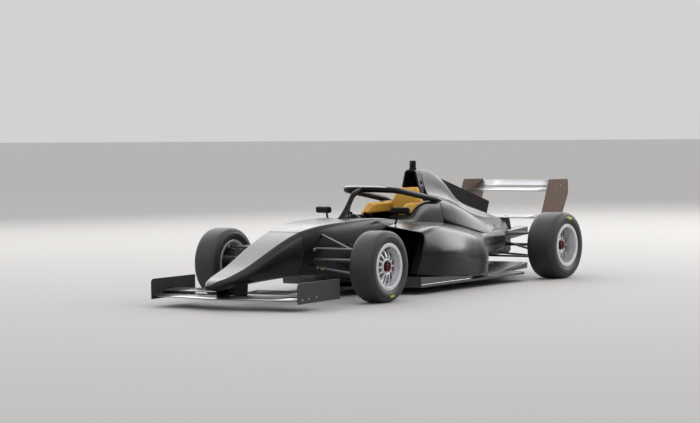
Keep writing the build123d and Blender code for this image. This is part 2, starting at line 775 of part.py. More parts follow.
def rim(rim_half, inset_face):
    """Rim barrel, twelve spokes and a hub, its outer face towards +X."""
    bead = rim_half - FLANGE_WIDTH
    ledge = rim_half - DROP_WIDTH
    barrel = [
        (rim_half, LIP_RADIUS, 3), (rim_half, FLANGE_RADIUS, 5),
        (bead, FLANGE_RADIUS, 3), (bead, BEAD_RADIUS, 3),
        (ledge + 12, BEAD_RADIUS, 3), (ledge, DROP_RADIUS, 3), (-ledge, DROP_RADIUS, 3),
        (-ledge - 12, BEAD_RADIUS, 3), (-bead, BEAD_RADIUS, 3), (-bead, FLANGE_RADIUS, 3),
        (-rim_half, FLANGE_RADIUS, 5), (-rim_half, BEAD_RADIUS - BARREL_WALL, 3),
        (-ledge - 12, BEAD_RADIUS - BARREL_WALL, 3), (-ledge, DROP_RADIUS - BARREL_WALL, 3),
        (ledge, DROP_RADIUS - BARREL_WALL, 3), (ledge + 8, LIP_RADIUS, 3),
    ]
    solid = revolve(rounded_face(Plane.XY, barrel), Axis.X)
    face = rim_half - inset_face
    hub = rod((face - RIM_HUB_LENGTH, 0, 0), (face, 0, 0), RIM_HUB_RADIUS)
    hub -= rod((face - NUT_POCKET_DEPTH, 0, 0), (face + 1, 0, 0), NUT_POCKET_RADIUS)
    hub += rod((face - NUT_POCKET_DEPTH - 1, 0, 0), (face - NUT_POCKET_DEPTH + NUT_HEIGHT, 0, 0), NUT_RADIUS)
    outer = DROP_RADIUS - BARREL_WALL / 2
    side = [
        (face - 3 - SPOKE_DEPTH, RIM_HUB_RADIUS - 6), (face - 3, RIM_HUB_RADIUS - 6),
        (face - 3 - SPOKE_SLOPE, outer), (face - 3 - SPOKE_SLOPE - SPOKE_DEPTH, outer),
    ]
    spoke = slab(Plane.XY, [(x, r, 0) for x, r in side], -SPOKE_WIDTH / 2, SPOKE_WIDTH / 2)
    for i in range(SPOKES):
        solid = solid + Rot(i * 360 / SPOKES, 0, 0) * spoke
    return solid + hub


def brake_hub(rim_half, inset_face):
    """Axle, bell and brake disc, which turn with the wheel."""
    back = rim_half - inset_face - RIM_HUB_LENGTH
    disc_face = -DISC_OFFSET - DISC_THICKNESS / 2
    solid = rod((disc_face, 0, 0), (disc_face + DISC_THICKNESS, 0, 0), DISC_RADIUS)
    solid += rod((disc_face, 0, 0), (back, 0, 0), BELL_RADIUS)
    return solid + rod((-AXLE_END, 0, 0), (0, 0, 0), AXLE_RADIUS)


def upright(low, high):
    """Carrier of one wheel between its ball joints, heights measured from the axle."""
    solid = cuboid(
        (-UPRIGHT_INNER, -UPRIGHT_OUTER), (-UPRIGHT_HALF_LENGTH, UPRIGHT_HALF_LENGTH),
        (low + BALL_RADIUS + BALL_GAP, high - BALL_RADIUS - BALL_GAP),
    )
    solid += rod((-UPRIGHT_INNER, 0, 0), (-UPRIGHT_OUTER, 0, 0), UPRIGHT_BOSS_RADIUS)
    flange = cuboid(
        (-UPRIGHT_OUTER - 14, -UPRIGHT_OUTER), (0, CALIPER_OUTER_RADIUS),
        (-CALIPER_HALF_HEIGHT, CALIPER_HALF_HEIGHT),
    )
    bore = rod((-UPRIGHT_INNER - 1, 0, 0), (-UPRIGHT_OUTER + 1, 0, 0), AXLE_RADIUS + BEARING_GAP)
    return solid + flange - bore


def steering_arm(axle_height):
    """Arm with the pin that stands in the track rod's eye."""
    level = RACK_HEIGHT - axle_height
    low = level - RACK_RADIUS - 10
    x = -KINGPIN_OFFSET
    arm = cuboid((x - 11, x + 11), (-STEER_ARM, -UPRIGHT_HALF_LENGTH), (low - 14, low))
    arm += Pos(x, -STEER_ARM, low - 7) * Cylinder(11, 14)
    return arm + Pos(x, -STEER_ARM, (low + level + RACK_RADIUS) / 2) * Cylinder(
        STEER_PIN_RADIUS, level + RACK_RADIUS - low
    )


def caliper():
    """Brake caliper over the rear edge of the disc."""
    disc_low = -DISC_OFFSET - DISC_THICKNESS / 2
    disc_high = -DISC_OFFSET + DISC_THICKNESS / 2
    block = cuboid(
        (-UPRIGHT_OUTER, disc_high + CALIPER_SLOT + CALIPER_WALL), (CALIPER_INNER_RADIUS, CALIPER_OUTER_RADIUS),
        (-CALIPER_HALF_HEIGHT, CALIPER_HALF_HEIGHT),
    )
    slot = rod(
        (disc_low - CALIPER_SLOT, 0, 0), (disc_high + CALIPER_SLOT, 0, 0), DISC_RADIUS + CALIPER_SLOT
    )
    return block - slot


def driveshaft():
    """Left driveshaft, with the boot at its inner end."""
    outer = REAR_TRACK / 2 - AXLE_END
    inner = GEARBOX_HALF + 6
    shaft = across(inner, outer - inner, DRIVESHAFT_RADIUS, WHEELBASE, REAR_TYRE_RADIUS)
    boot = loft([
        Plane(origin=(inner, WHEELBASE, REAR_TYRE_RADIUS), z_dir=(1, 0, 0)) * Circle(BOOT_RADIUS),
        Plane(origin=(inner + BOOT_LENGTH, WHEELBASE, REAR_TYRE_RADIUS), z_dir=(1, 0, 0))
        * Circle(DRIVESHAFT_RADIUS + 3),
    ])
    return shaft + boot


def wishbone(legs, joint):
    solid = ball(joint, BALL_RADIUS)
    for leg in legs:
        solid = solid + rod(leg, joint, ROD_RADIUS)
    return solid


def front_wishbones(tub):
    """Wishbones and pushrods of both sides, which end on the tub."""
    left = [
        wishbone(FRONT_UPPER_LEGS, FRONT_UPPER_BALL) + rod(*FRONT_PUSHROD, ROD_RADIUS)
        + ball(FRONT_PUSHROD[1], BALL_RADIUS) - tub,
        wishbone(FRONT_LOWER_LEGS, FRONT_LOWER_BALL) - tub,
    ]
    return left + [mirrored(s) for s in left]


def rear_wishbones(gearbox):
    left = [
        wishbone(REAR_UPPER_LEGS, REAR_UPPER_BALL) - gearbox,
        wishbone(REAR_LOWER_LEGS, REAR_LOWER_BALL) + rod(*REAR_PUSHROD, ROD_RADIUS) - gearbox,
    ]
    return left + [mirrored(s) for s in left]


def floor():
    """Floor plate with its front tray and the plank under it."""
    half = [
        (TRAY_HALF * 0.6, TRAY_FRONT, 40), (TRAY_HALF, TRAY_FRONT + 120, 40),
        (TRAY_HALF + 40, FLOOR_FRONT - 40, 40), (FLOOR_HALF, FLOOR_FRONT, 4),
        (FLOOR_HALF, FLOOR_REAR - 120, 60), (FLOOR_HALF - 108, FLOOR_REAR, 20),
    ]
    outline = half + [(-x, y, r) for x, y, r in reversed(half)]
    plate = slab(Plane.XY, outline, FLOOR_LOW, FLOOR_TOP)
    raised = [(FLOOR_FRONT + y, FLOOR_TOP + z - 1, r) for y, z, r in FENCE_OUTLINE]
    fence = slab(x_plane(0), raised, FLOOR_HALF - FENCE_THICKNESS, FLOOR_HALF)
    lip = cuboid((TRAY_HALF + 60, FLOOR_HALF), (FLOOR_FRONT, FLOOR_FRONT + FENCE_THICKNESS),
                 (FLOOR_TOP - 1, FLOOR_TOP + FENCE_HEIGHT))
    for edge in both_sides(fence + lip):
        plate = plate + edge
    plank = cuboid(
        (-PLANK_HALF, PLANK_HALF), (TRAY_FRONT + 30, FLOOR_REAR - 60), (FLOOR_LOW - PLANK_THICKNESS, FLOOR_LOW)
    )
    return plate + plank


def diffuser():
    """Ramp behind the floor, with upright strakes."""
    rear_z = FLOOR_LOW + DIFFUSER_RISE
    ramp = [
        (FLOOR_REAR, FLOOR_LOW, 0), (DIFFUSER_REAR, rear_z, 0), (DIFFUSER_REAR, rear_z + DIFFUSER_SKIN, 0),
        (FLOOR_REAR, FLOOR_LOW + DIFFUSER_SKIN, 0),
    ]
    solid = slab(x_plane(0), ramp, -DIFFUSER_HALF, DIFFUSER_HALF)
    strake = [
        (FLOOR_REAR, FLOOR_LOW, 0), (DIFFUSER_REAR, rear_z - STRAKE_HEIGHT, 0), (DIFFUSER_REAR, rear_z + 2, 0),
        (FLOOR_REAR, FLOOR_LOW + 2, 0),
    ]
    for offset in (-1, -0.36, 0.36, 1):
        middle = offset * (DIFFUSER_HALF - DIFFUSER_SKIN / 2)
        solid += slab(x_plane(middle), strake, -DIFFUSER_SKIN / 2, DIFFUSER_SKIN / 2)
    return solid


def gearbox():
    body = cuboid((-GEARBOX_HALF, GEARBOX_HALF), (ENGINE_FRONT + ENGINE_LENGTH, GEARBOX_REAR),
                  (GEARBOX_LOW, GEARBOX_HIGH))
    return chamfer(body.edges().filter_by(Axis.Y), 30)


def engine():
    return cuboid((-ENGINE_HALF, ENGINE_HALF), (ENGINE_FRONT, ENGINE_FRONT + ENGINE_LENGTH),
                  (ENGINE_LOW, ENGINE_HIGH))


def crash_structure():
    start = y_plane(GEARBOX_REAR)
    end = y_plane(GEARBOX_REAR + CRASH_LENGTH)
    big = [(-CRASH_HALF * 1.3, CRASH_LOW - 30, 12), (CRASH_HALF * 1.3, CRASH_LOW - 30, 12),
           (CRASH_HALF * 1.3, CRASH_HIGH - 20, 12), (-CRASH_HALF * 1.3, CRASH_HIGH - 20, 12)]
    small = [(-CRASH_HALF, CRASH_LOW, 10), (CRASH_HALF, CRASH_LOW, 10), (CRASH_HALF, CRASH_HIGH, 10),
             (-CRASH_HALF, CRASH_HIGH, 10)]
    return loft([rounded_face(start, big), rounded_face(end, small)])


def rain_light():
    rear = GEARBOX_REAR + CRASH_LENGTH
    half = CRASH_HALF - 8
    return cuboid((-half, half), (rear, rear + LIGHT_THICKNESS), (CRASH_LOW + 6, CRASH_HIGH - 6))


def corner_nodes(nodes):
    """Wheels, hubs, uprights and calipers of the four corners."""
    corners = [
        ("front", FRONT_TRACK, 0.0, FRONT_TYRE_RADIUS, FRONT_TYRE_HALF, FRONT_RIM_HALF, FRONT_HUB_INSET,
         FRONT_LOWER_BALL[2], FRONT_UPPER_BALL[2]),
        ("rear", REAR_TRACK, WHEELBASE, REAR_TYRE_RADIUS, REAR_TYRE_HALF, REAR_RIM_HALF, REAR_HUB_INSET,
         REAR_LOWER_BALL[2], REAR_UPPER_BALL[2]),
    ]
    for end, track, station, radius, half, rim_half, inset_face, low, high in corners:
        place = Pos(track / 2, station, radius)
        carrier = upright(low - radius, high - radius)
        if end == "front":
            carrier += steering_arm(radius)
        pieces = {
            "tyre": tyre(radius, half, rim_half),
            "rim": rim(rim_half, inset_face),
            "brake_hub": brake_hub(rim_half, inset_face),
            "upright": carrier,
            "caliper": caliper(),
        }
        for name, piece in pieces.items():
            left = place * piece
            nodes[f"{name}_{end}_left"] = left
            nodes[f"{name}_{end}_right"] = mirrored(left)


def export(nodes):
    os.makedirs("parts", exist_ok=True)
    for name, shape in nodes.items():
        solids = shape if isinstance(shape, list) else [shape]
        flat = [s for item in solids for s in item.solids()]
        moved = Compound(children=[Pos(0, -CENTRE_STATION, 0) * s for s in flat])
        export_step(moved, f"parts/{name}.step")


def main():
    nodes = {}
    outer = tub_outer()
    inner = tub_inner()
    plane = front_plane()
    nodes["nose_cone"] = nose_cone(plane)
    nodes["monocoque"] = monocoque(outer, inner)
    nodes["front_wing_plane"] = plane
    nodes["front_wing_flaps"] = front_flap()
    nodes["front_endplates"] = plate_pair(FRONT_ENDPLATE_OUTLINE, FRONT_WING_HALF, ENDPLATE_THICKNESS)
    pod_form = pod_loft(False)
    pod = pod_form - pod_loft(True) - outer
    cover_form = cover_loft(False)
    pods_form = pod_form + mirrored(pod_form)
    cover = cover_form - cover_loft(True) - pods_form
    nodes["sidepods"] = both_sides(pod)
    nodes["engine_cover"] = cover
    nodes["fin"] = fin(cover_form)
    nodes["roll_hoop"] = roll_hoop(outer)
    nodes["camera_pod"] = camera_pod()
    nodes["halo"] = halo(outer, cover_form)
    nodes["mirrors"] = mirrors(pod_form)
    nodes["headrest"] = headrest()
    nodes["seat"] = seat()
    nodes["steering_wheel"] = steering_wheel()
    nodes["dash_panel"] = dash_panel(inner)
    nodes["rack_housing"] = rack_housing(inner)
    nodes["steering_rack"] = steering_rack()
    nodes["floor"] = floor()
    nodes["diffuser"] = diffuser()
    nodes["engine"] = engine()
    box = gearbox()
    nodes["gearbox"] = box
    nodes["rain_light"] = rain_light()
    beam = beam_wing()
    nodes["beam_wing"] = beam
    nodes["rear_wing"] = rear_wing()
    nodes["rear_endplates"] = plate_pair(REAR_ENDPLATE_OUTLINE, REAR_WING_HALF, ENDPLATE_THICKNESS)
    crash = crash_structure()
    nodes["crash_structure"] = crash
    nodes["wing_pylon"] = wing_pylon([beam, box, crash, cover_form])
    nodes["front_wishbones"] = front_wishbones(outer)
    nodes["rear_wishbones"] = rear_wishbones(box)
    for side, shape in zip(("left", "right"), both_sides(driveshaft())):
        nodes[f"driveshaft_{side}"] = shape
    corner_nodes(nodes)
    export(nodes)


main()
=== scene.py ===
import json
import math

import bmesh
import bpy
from mathutils import Matrix, Vector

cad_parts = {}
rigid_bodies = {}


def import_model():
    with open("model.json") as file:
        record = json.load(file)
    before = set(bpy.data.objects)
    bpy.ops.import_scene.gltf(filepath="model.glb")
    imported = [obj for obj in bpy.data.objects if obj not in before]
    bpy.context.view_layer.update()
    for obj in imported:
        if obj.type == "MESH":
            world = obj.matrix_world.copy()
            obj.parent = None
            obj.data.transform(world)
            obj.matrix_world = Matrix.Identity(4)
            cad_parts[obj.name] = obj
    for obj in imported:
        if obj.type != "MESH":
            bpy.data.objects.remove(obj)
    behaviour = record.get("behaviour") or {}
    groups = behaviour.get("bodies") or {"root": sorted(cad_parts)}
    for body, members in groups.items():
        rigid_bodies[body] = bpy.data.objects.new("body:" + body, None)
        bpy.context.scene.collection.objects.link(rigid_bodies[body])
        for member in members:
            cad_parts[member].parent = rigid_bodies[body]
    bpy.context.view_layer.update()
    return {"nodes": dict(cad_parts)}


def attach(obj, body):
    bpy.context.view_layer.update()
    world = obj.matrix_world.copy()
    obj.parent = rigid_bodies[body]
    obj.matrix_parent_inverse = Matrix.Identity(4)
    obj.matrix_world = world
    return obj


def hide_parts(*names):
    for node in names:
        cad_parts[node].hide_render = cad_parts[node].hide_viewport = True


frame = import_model()

# The car is seen from ahead of its left front wheel, a little above the road, through a long lens.
# The camera's place and turn come from the photograph's four wheels.
CAMERA_PLACE = Vector((11.284, -17.2435, 1.558))
CAMERA_AZIMUTH = math.radians(33.902)
CAMERA_RISE = math.radians(2.558)
CAMERA_ROLL = math.radians(-0.946)
PHOTO_WIDTH = 700
FOCAL_PIXELS = 2525.92
SENSOR = 36.0

back = Vector((
    math.sin(CAMERA_AZIMUTH) * math.cos(CAMERA_RISE),
    -math.cos(CAMERA_AZIMUTH) * math.cos(CAMERA_RISE),
    math.sin(CAMERA_RISE),
))
level_right = (-back).cross(Vector((0, 0, 1))).normalized()
level_up = level_right.cross(-back)
right = level_right * math.cos(CAMERA_ROLL) + level_up * math.sin(CAMERA_ROLL)
up = level_up * math.cos(CAMERA_ROLL) - level_right * math.sin(CAMERA_ROLL)
lens = bpy.data.cameras.new("photo_camera")
lens.sensor_width = SENSOR
lens.lens = FOCAL_PIXELS / PHOTO_WIDTH * SENSOR
lens.clip_end = 200
camera = bpy.data.objects.new("photo_camera", lens)
camera.matrix_world = Matrix.Translation(CAMERA_PLACE) @ Matrix((right, up, back)).transposed().to_4x4()
bpy.context.collection.objects.link(camera)
bpy.context.scene.camera = camera
bpy.context.scene.view_settings.view_transform = "Standard"

# The studio is a wide pale floor under a graded sky that is darker low down on the camera's side. Two large
# soft lamps stand behind the car, for its tops to reflect, and a weak one hangs above it.
FLOOR_PALE = (0.37, 0.36, 0.35, 1)
SKY_NEAR = (0.16, 0.16, 0.165, 1)
SKY_FAR = (0.68, 0.68, 0.69, 1)
SKY_HIGH = (1.25, 1.25, 1.26, 1)
SKY_STRENGTH = 0.95
SKY_AWAY = (-0.87, 0.5, 0)
# Name, place, width, depth and power
SOFTBOXES = [
    ("softbox_behind", (-8.0, 6.5, 7.3), 14, 8, 860),
    ("softbox_above", (2.0, -2.0, 7.0), 9, 6, 40),
    ("softbox_rear", (4.0, 10.0, 5.2), 13, 5, 760),
]


def new_material(name):
    """A named material with its node tree and shader."""
    material = bpy.data.materials.new(name)
    material.use_nodes = True
    return material, material.node_tree, material.node_tree.nodes["Principled BSDF"]


def wired(tree, node, values=(), feeds=()):
    """A node with its values set and its inputs fed by other nodes' sockets."""
    for key, value in dict(values).items():
        node.inputs[key].default_value = value
    for key, socket in dict(feeds).items():
        tree.links.new(socket, node.inputs[key])
    return node


def added(tree, kind, values=(), feeds=(), **settings):
    """A new node of a kind, with its settings, values and feeds."""
    node = tree.nodes.new(f"ShaderNode{kind}")
    for key, value in settings.items():
        setattr(node, key, value)
    return wired(tree, node, values, feeds)


def new_piece(name, solid):
    """An object at the origin from a finished bmesh."""
    mesh = bpy.data.meshes.new(name)
    solid.to_mesh(mesh)
    solid.free()
    piece = bpy.data.objects.new(name, mesh)
    bpy.context.collection.objects.link(piece)
    return piece


studio = bmesh.new()
bmesh.ops.create_grid(studio, x_segments=1, y_segments=1, size=60)
floor = new_piece("studio_floor", studio)
floor_paint, tree, shader = new_material("studio_floor")
wired(tree, shader, {"Base Color": FLOOR_PALE, "Roughness": 0.9})
floor.data.materials.append(floor_paint)

world = bpy.data.worlds.new("studio_sky")
bpy.context.scene.world = world
world.use_nodes = True
tree = world.node_tree
look = added(tree, "TexCoord").outputs["Generated"]
away = added(tree, "VectorMath", {1: SKY_AWAY}, {0: look}, operation="DOT_PRODUCT").outputs["Value"]
far = added(tree, "MapRange", {"From Min": -0.6, "From Max": 0.6}, {"Value": away}).outputs["Result"]
horizon = added(tree, "Mix", {6: SKY_NEAR, 7: SKY_FAR}, {0: far}, data_type="RGBA").outputs[2]
rise = added(tree, "SeparateXYZ", feeds={"Vector": look}).outputs["Z"]
lift = added(tree, "MapRange", {"From Min": 0.04, "From Max": 0.45}, {"Value": rise}).outputs["Result"]
shade = added(tree, "Mix", {7: SKY_HIGH}, {6: horizon, 0: lift}, data_type="RGBA").outputs[2]
wired(tree, tree.nodes["Background"], {"Strength": SKY_STRENGTH}, {"Color": shade})

for name, place, width, depth, power in SOFTBOXES:
    softbox = bpy.data.lights.new(name, "AREA")
    softbox.shape = "RECTANGLE"
    softbox.size = width
    softbox.size_y = depth
    softbox.energy = power
    lamp = bpy.data.objects.new(name, softbox)
    lamp.visible_camera = False
    aim_back = Vector(place) - Vector((0, 0, 0.5))
    lamp.matrix_world = Matrix.Translation(place) @ aim_back.to_track_quat("Z", "Y").to_matrix().to_4x4()
    bpy.context.collection.objects.link(lamp)

# The survival cell is one closed carbon shell from the nose joint to the seat back, laid up in a mould,
# cured and painted satin black. Its top is open round the driver, and the opening's edge is rolled over.
MIDDLE_STATION = 1162.5
COCKPIT_HALF = 226.0
COCKPIT_FRONT = 750.0
COCKPIT_CORNER = 110.0
COCKPIT_REAR = 1628
TUB_REAR = 1690.0
TUB_WALL = 0.022
# Station, then height and half width at the bottom, the waist and the top, in millimetres
BODY_SECTIONS = [
    (-1195, 160, 16, 172, 24, 186, 16),
    (-1172, 151, 34, 172, 46, 202, 36),
    (-1130, 147, 60, 184, 76, 222, 62),
    (-1065, 153, 86, 200, 106, 238, 90),
    (-983, 162, 98, 214, 120, 262, 104),
    (-841, 174, 106, 242, 138, 304, 122),
    (-618, 187, 128, 292, 160, 394, 144),
    (-417, 194, 138, 332, 176, 475, 158),
    (-217, 195, 150, 365, 196, 538, 174),
    (0, 190, 185, 385, 245, 579, 216),
    (250, 160, 205, 385, 276, 596, 246),
    (600, 92, 230, 380, 294, 603, 264),
    (800, 77, 240, 370, 295, 600, 264),
    (1000, 77, 240, 370, 295, 580, 266),
    (1180, 77, 240, 375, 295, 582, 264),
    (1240, 77, 240, 380, 295, 600, 262),
    (1320, 77, 240, 390, 295, 656, 258),
    (1434, 77, 240, 400, 295, 697, 252),
    (1690, 77, 240, 420, 295, 706, 244),
]
# The rows at DASH_ROW and RIM_ROW bend round the opening's front corners
DASH_ROW, RIM_ROW = 712, 760
TUB_ROWS = [-216.6, -215.4, -180, -100, 0, 120, 250, 370, 490, 600, 660, DASH_ROW, RIM_ROW, 930, 1000, 1060, 1120,
            1175, 1210, 1240, 1280, 1320, 1375, 1434, 1500, 1570, COCKPIT_REAR, 1660, 1686, 1689]


def speckled(name, colour, roughness, slot=None, grain=900.0, spread=0.12, bump=0.04, coat=0.0, metal=0.0,
             gloss=0.5, sheen=0.0):
    """A finish and its usual slot. Its tone and roughness vary a little over the surface, with a fine grain."""
    material, tree, shader = new_material(name)
    place = {"Vector": added(tree, "TexCoord").outputs["Object"]}
    wide = added(tree, "TexNoise", {"Scale": 7.0, "Detail": 5.0}, place).outputs["Fac"]
    fine = added(tree, "TexNoise", {"Scale": grain, "Detail": 2.0}, place).outputs["Fac"]
    dark, pale = [[min(1, part * (1 + way * spread)) for part in colour] + [1] for way in (-1, 1)]
    tone = added(tree, "Mix", {6: dark, 7: pale}, {0: wide}, data_type="RGBA")
    rough = added(tree, "MapRange", {
        "From Min": 0.3, "From Max": 0.7,
        "To Min": max(0.02, roughness * 0.88), "To Max": min(1.0, roughness * 1.12),
    }, {"Value": wide})
    relief = added(tree, "Bump", {"Strength": bump, "Distance": 0.001}, {"Height": fine})
    wired(tree, shader, {
        "Metallic": metal, "Coat Weight": coat, "Coat Roughness": 0.12, "Specular IOR Level": gloss,
        "Sheen Weight": sheen, "Sheen Roughness": 0.4,
    }, {"Base Color": tone.outputs[2], "Roughness": rough.outputs["Result"], "Normal": relief.outputs["Normal"]})
    return material, slot or name


def spot(x, station, height):
    """A point of the car: half width, distance behind the front axle and height, in millimetres."""
    return Vector((x / 1000, (station - MIDDLE_STATION) / 1000, height / 1000))


def slope_at(sections, i, k):
    """How fast a column of a table changes at a row, where the nearer of its two neighbours counts more."""
    total = weight = 0
    for low, high in zip(sections[max(0, i - 1):i + 1], sections[max(1, i):i + 2]):
        gap = high[0] - low[0]
        total += (high[k] - low[k]) / gap**2
        weight += 1 / gap
    return total / weight


def between(sections, station):
    """Section values at a station, on a smooth curve through the rows of a table."""
    i = max(0, min(len(sections) - 2, sum(row[0] <= station for row in sections) - 1))
    low, high = sections[i], sections[i + 1]
    gap = high[0] - low[0]
    t = (station - low[0]) / gap
    return [
        low[k] * (2 * t**3 - 3 * t**2 + 1) + high[k] * (3 * t**2 - 2 * t**3)
        + slope_at(sections, i, k) * gap * (t**3 - 2 * t**2 + t) + slope_at(sections, i + 1, k) * gap * (t**3 - t**2)
        for k in range(1, len(low))
    ]


def along(start, end, distance):
    """The point a distance from the start towards the end."""
    way = Vector(end) - start
    return start + way.normalized() * min(distance, way.length * 0.5)


def tub_half(values):
    """Half outline of the shell, from the top's middle down to the bottom's middle."""
    low_z, low_half, waist_z, waist_half, top_z, top_half = values
    top, waist, low = Vector((top_half, top_z)), Vector((waist_half, waist_z)), Vector((low_half, low_z))
    corner = min(42.0, low_half * 0.6, top_half * 0.6, (top_z - low_z) * 0.28) * 0.62
    rim = min(COCKPIT_HALF, top_half - corner * 1.4)
    points = [Vector((rim * share, top_z)) for share in (0, 0.4, 0.7, 0.9, 1)]
    points += [along(top, (0, top_z), corner), along(top, waist, corner), (top + waist) / 2, waist]
    points += [(waist + low) / 2, along(low, waist, corner * 0.8), along(low, (0, low_z), corner * 0.8)]
    return points + [Vector((low_half * 0.5, low_z)), Vector((0, low_z))]


def all_round(half):
    """The whole outline from a half one, from the bottom's middle round to it again."""
    return [Vector((-p.x, p.y)) for p in reversed(half)] + list(half[1:])


def body_outline(station):
    """The body's whole outline at a station."""
    return all_round(tub_half(between(BODY_SECTIONS, station)))


def finished(solid, flat_caps=False):
    """A solid with its faces turned outward and shaded smooth, apart from flat caps of many corners."""
    bmesh.ops.recalc_face_normals(solid, faces=solid.faces)
    for face in solid.faces:
        face.smooth = not flat_caps or len(face.verts) <= 4
    return solid


def mapped_grid(columns, rows, place, missing=None):
    """A grid of quads whose points are placed by row and column, without the cells that are missing."""
    grid = bmesh.new()
    bmesh.ops.create_grid(grid, x_segments=columns, y_segments=rows, size=1)

    def cell(point):
        return (point.y + 1) / 2 * rows, (point.x + 1) / 2 * columns

    gaps = [face for face in grid.faces if missing and missing(*cell(face.calc_center_median()))]
    for vert in grid.verts:
        row, column = cell(vert.co)
        vert.co = place(round(row), round(column))
    bmesh.ops.delete(grid, geom=gaps, context="FACES")
    return grid


def dressed(piece, finish, body="chassis", node=None, slot=None):
    """A piece with its finish, on its body, in the place of a solid where it has one."""
    material, usual_slot = finish
    piece.data.materials.append(material)
    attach(piece, body)
    if node:
        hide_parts(node)
    slot or usual_slot
    return piece


def skin(name, node, columns, rows, place, wall, missing=None, ends=None):
    """A moulded black panel: a grid whose columns go round the car and whose rows go along it."""
    panel = mapped_grid(columns, rows, place, missing)
    bmesh.ops.remove_doubles(panel, verts=panel.verts, dist=0.0002)
    if ends:
        rims = [edge for edge in panel.edges if edge.is_boundary and ends(edge)]
        bmesh.ops.holes_fill(panel, edges=rims, sides=0)
    piece = new_piece(name, finished(panel))
    solid = piece.modifiers.new("wall", "SOLIDIFY")
    solid.thickness = wall
    solid.offset = -1
    smooth = piece.modifiers.new("smooth", "SUBSURF")
    smooth.levels = smooth.render_levels = 2
    return dressed(piece, body_black, node=node)


body_black = speckled("body_black", (0.003, 0.003, 0.0035), 0.25, bump=0.02, gloss=0.26, sheen=0.08)
crest = len(tub_half(BODY_SECTIONS[0][1:])) - 1


def tub_place(row, column):
    station = TUB_ROWS[row]
    point = body_outline(station)[column]
    if station in (DASH_ROW, RIM_ROW):
        reach = max(0.0, min(COCKPIT_CORNER, abs(point.x) - COCKPIT_HALF + COCKPIT_CORNER))
        arc = COCKPIT_CORNER - math.sqrt(COCKPIT_CORNER**2 - reach**2)
        bend = arc if abs(column - crest) <= 4 else COCKPIT_CORNER * 0.75
        station = COCKPIT_FRONT + bend if station == RIM_ROW else DASH_ROW + bend * 0.4
        point = body_outline(station)[column]
    return spot(point.x, station, point.y)


def tub_missing(row, column):
    """The driver's opening: the top's cells behind the dash and ahead of the seat back."""
    return abs(column - crest) < 4 and TUB_ROWS.index(RIM_ROW) < row < TUB_ROWS.index(COCKPIT_REAR)


def tub_front(edge):
    return all(vert.co.y < -1.3 for vert in edge.verts)


skin("tub_shell", "monocoque", 2 * crest, len(TUB_ROWS) - 1, tub_place, TUB_WALL, tub_missing, tub_front)

# The nose is a hollow carbon crash cone, blunt at its tip and flat on top, that fits on the survival cell's
# front face. It carries the front wing on two blades.
NOSE_WALL = 0.004
NOSE_ROWS = [-1194, -1186, -1172, -1152, -1130, -1100, -1065, -1020, -983, -910, -841, -730, -618, -517, -417, -317,
             -250, -219, -217.5]


def nose_place(row, column):
    point = body_outline(NOSE_ROWS[row])[column]
    return spot(point.x, NOSE_ROWS[row], point.y)


skin("nose_shell", "nose_cone", 2 * crest, len(NOSE_ROWS) - 1, nose_place, NOSE_WALL, ends=lambda edge: True)

# The sidepods are thin carbon shells that guide air to the radiators. Each has a rolled lip round its
# slanted inlet, is fullest at the belly and narrows towards the rear wheels.
SIDES = (("left", 1), ("right", -1))
POD_INNER = 200.0
POD_WALL = 0.007
# Station, inner bottom height, outer bottom half width and height, belly half width and height, outer top
# half width and height, inner top height
POD_SECTIONS = [
    (700, 76, 586, 76, 636, 296, 604, 470, 546),
    (842, 76, 612, 76, 668, 304, 618, 492, 552),
    (1020, 76, 640, 76, 718, 318, 606, 522, 566),
    (1300, 76, 645, 76, 716, 280, 602, 496, 556),
    (1560, 76, 640, 76, 664, 240, 592, 450, 548),
    (1750, 76, 612, 76, 632, 240, 566, 414, 536),
    (1900, 76, 566, 76, 582, 240, 520, 392, 522),
    (1990, 90, 508, 90, 528, 240, 474, 384, 513),
    (2080, 130, 430, 130, 450, 244, 426, 380, 503),
    (2180, 185, 365, 185, 388, 254, 380, 384, 490),
    (2280, 214, 332, 214, 356, 268, 352, 392, 478),
    (2592, 246, 312, 246, 345, 320, 335, 402, 452),
]
# The first row is the inlet's lip, whose stations differ from column to column, and the second follows it
POD_ROWS = [0, 880, 950, 1020, 1110, 1200, 1300, 1390, 1480, 1560, 1640, 1720, 1800, 1860, 1920, 1980, 2040, 2100,
            2160, 2220, 2300, 2400, 2500, 2580, 2591]
POD_LIP = [812, 812, 814, 826, 838, 800, 752, 728, 714, 712, 712, 712]


def pod_outline(values):
    """Outline of the left pod from its inner top edge, over the belly, to its inner bottom edge."""
    in_low, out_x, out_z, belly_x, belly_z, top_x, top_z, in_high = values
    inner, low = Vector((POD_INNER, in_high)), Vector((POD_INNER, in_low))
    top, belly, out = Vector((top_x, top_z)), Vector((belly_x, belly_z)), Vector((out_x, out_z))
    points = [inner, inner.lerp(top, 0.5), inner.lerp(top, 0.84), along(top, inner, 24), along(top, belly, 24)]
    points += [(top + belly) / 2, belly, (belly + out) / 2, along(out, belly, 20), along(out, low, 20)]
    return points + [(out + low) / 2, low]


pods = {}
for side, sign in SIDES:

    def pod_place(row, column):
        first = (POD_LIP[column], POD_ROWS[1] + (POD_LIP[column] - POD_LIP[0]) * 0.5)
        station = first[row] if row < 2 else POD_ROWS[row]
        point = pod_outline(between(POD_SECTIONS, station))[column]
        return spot(sign * point.x, station, point.y)

    pods[sign] = skin(f"sidepod_shell_{side}", "sidepods", len(POD_LIP) - 1, len(POD_ROWS) - 1, pod_place, POD_WALL)

# The engine cover is one thin carbon moulding that drops from the air box to the gearbox, with a narrow
# spine and wide shoulders, and lifts off whole for work on the engine.
COVER_WALL = 0.006
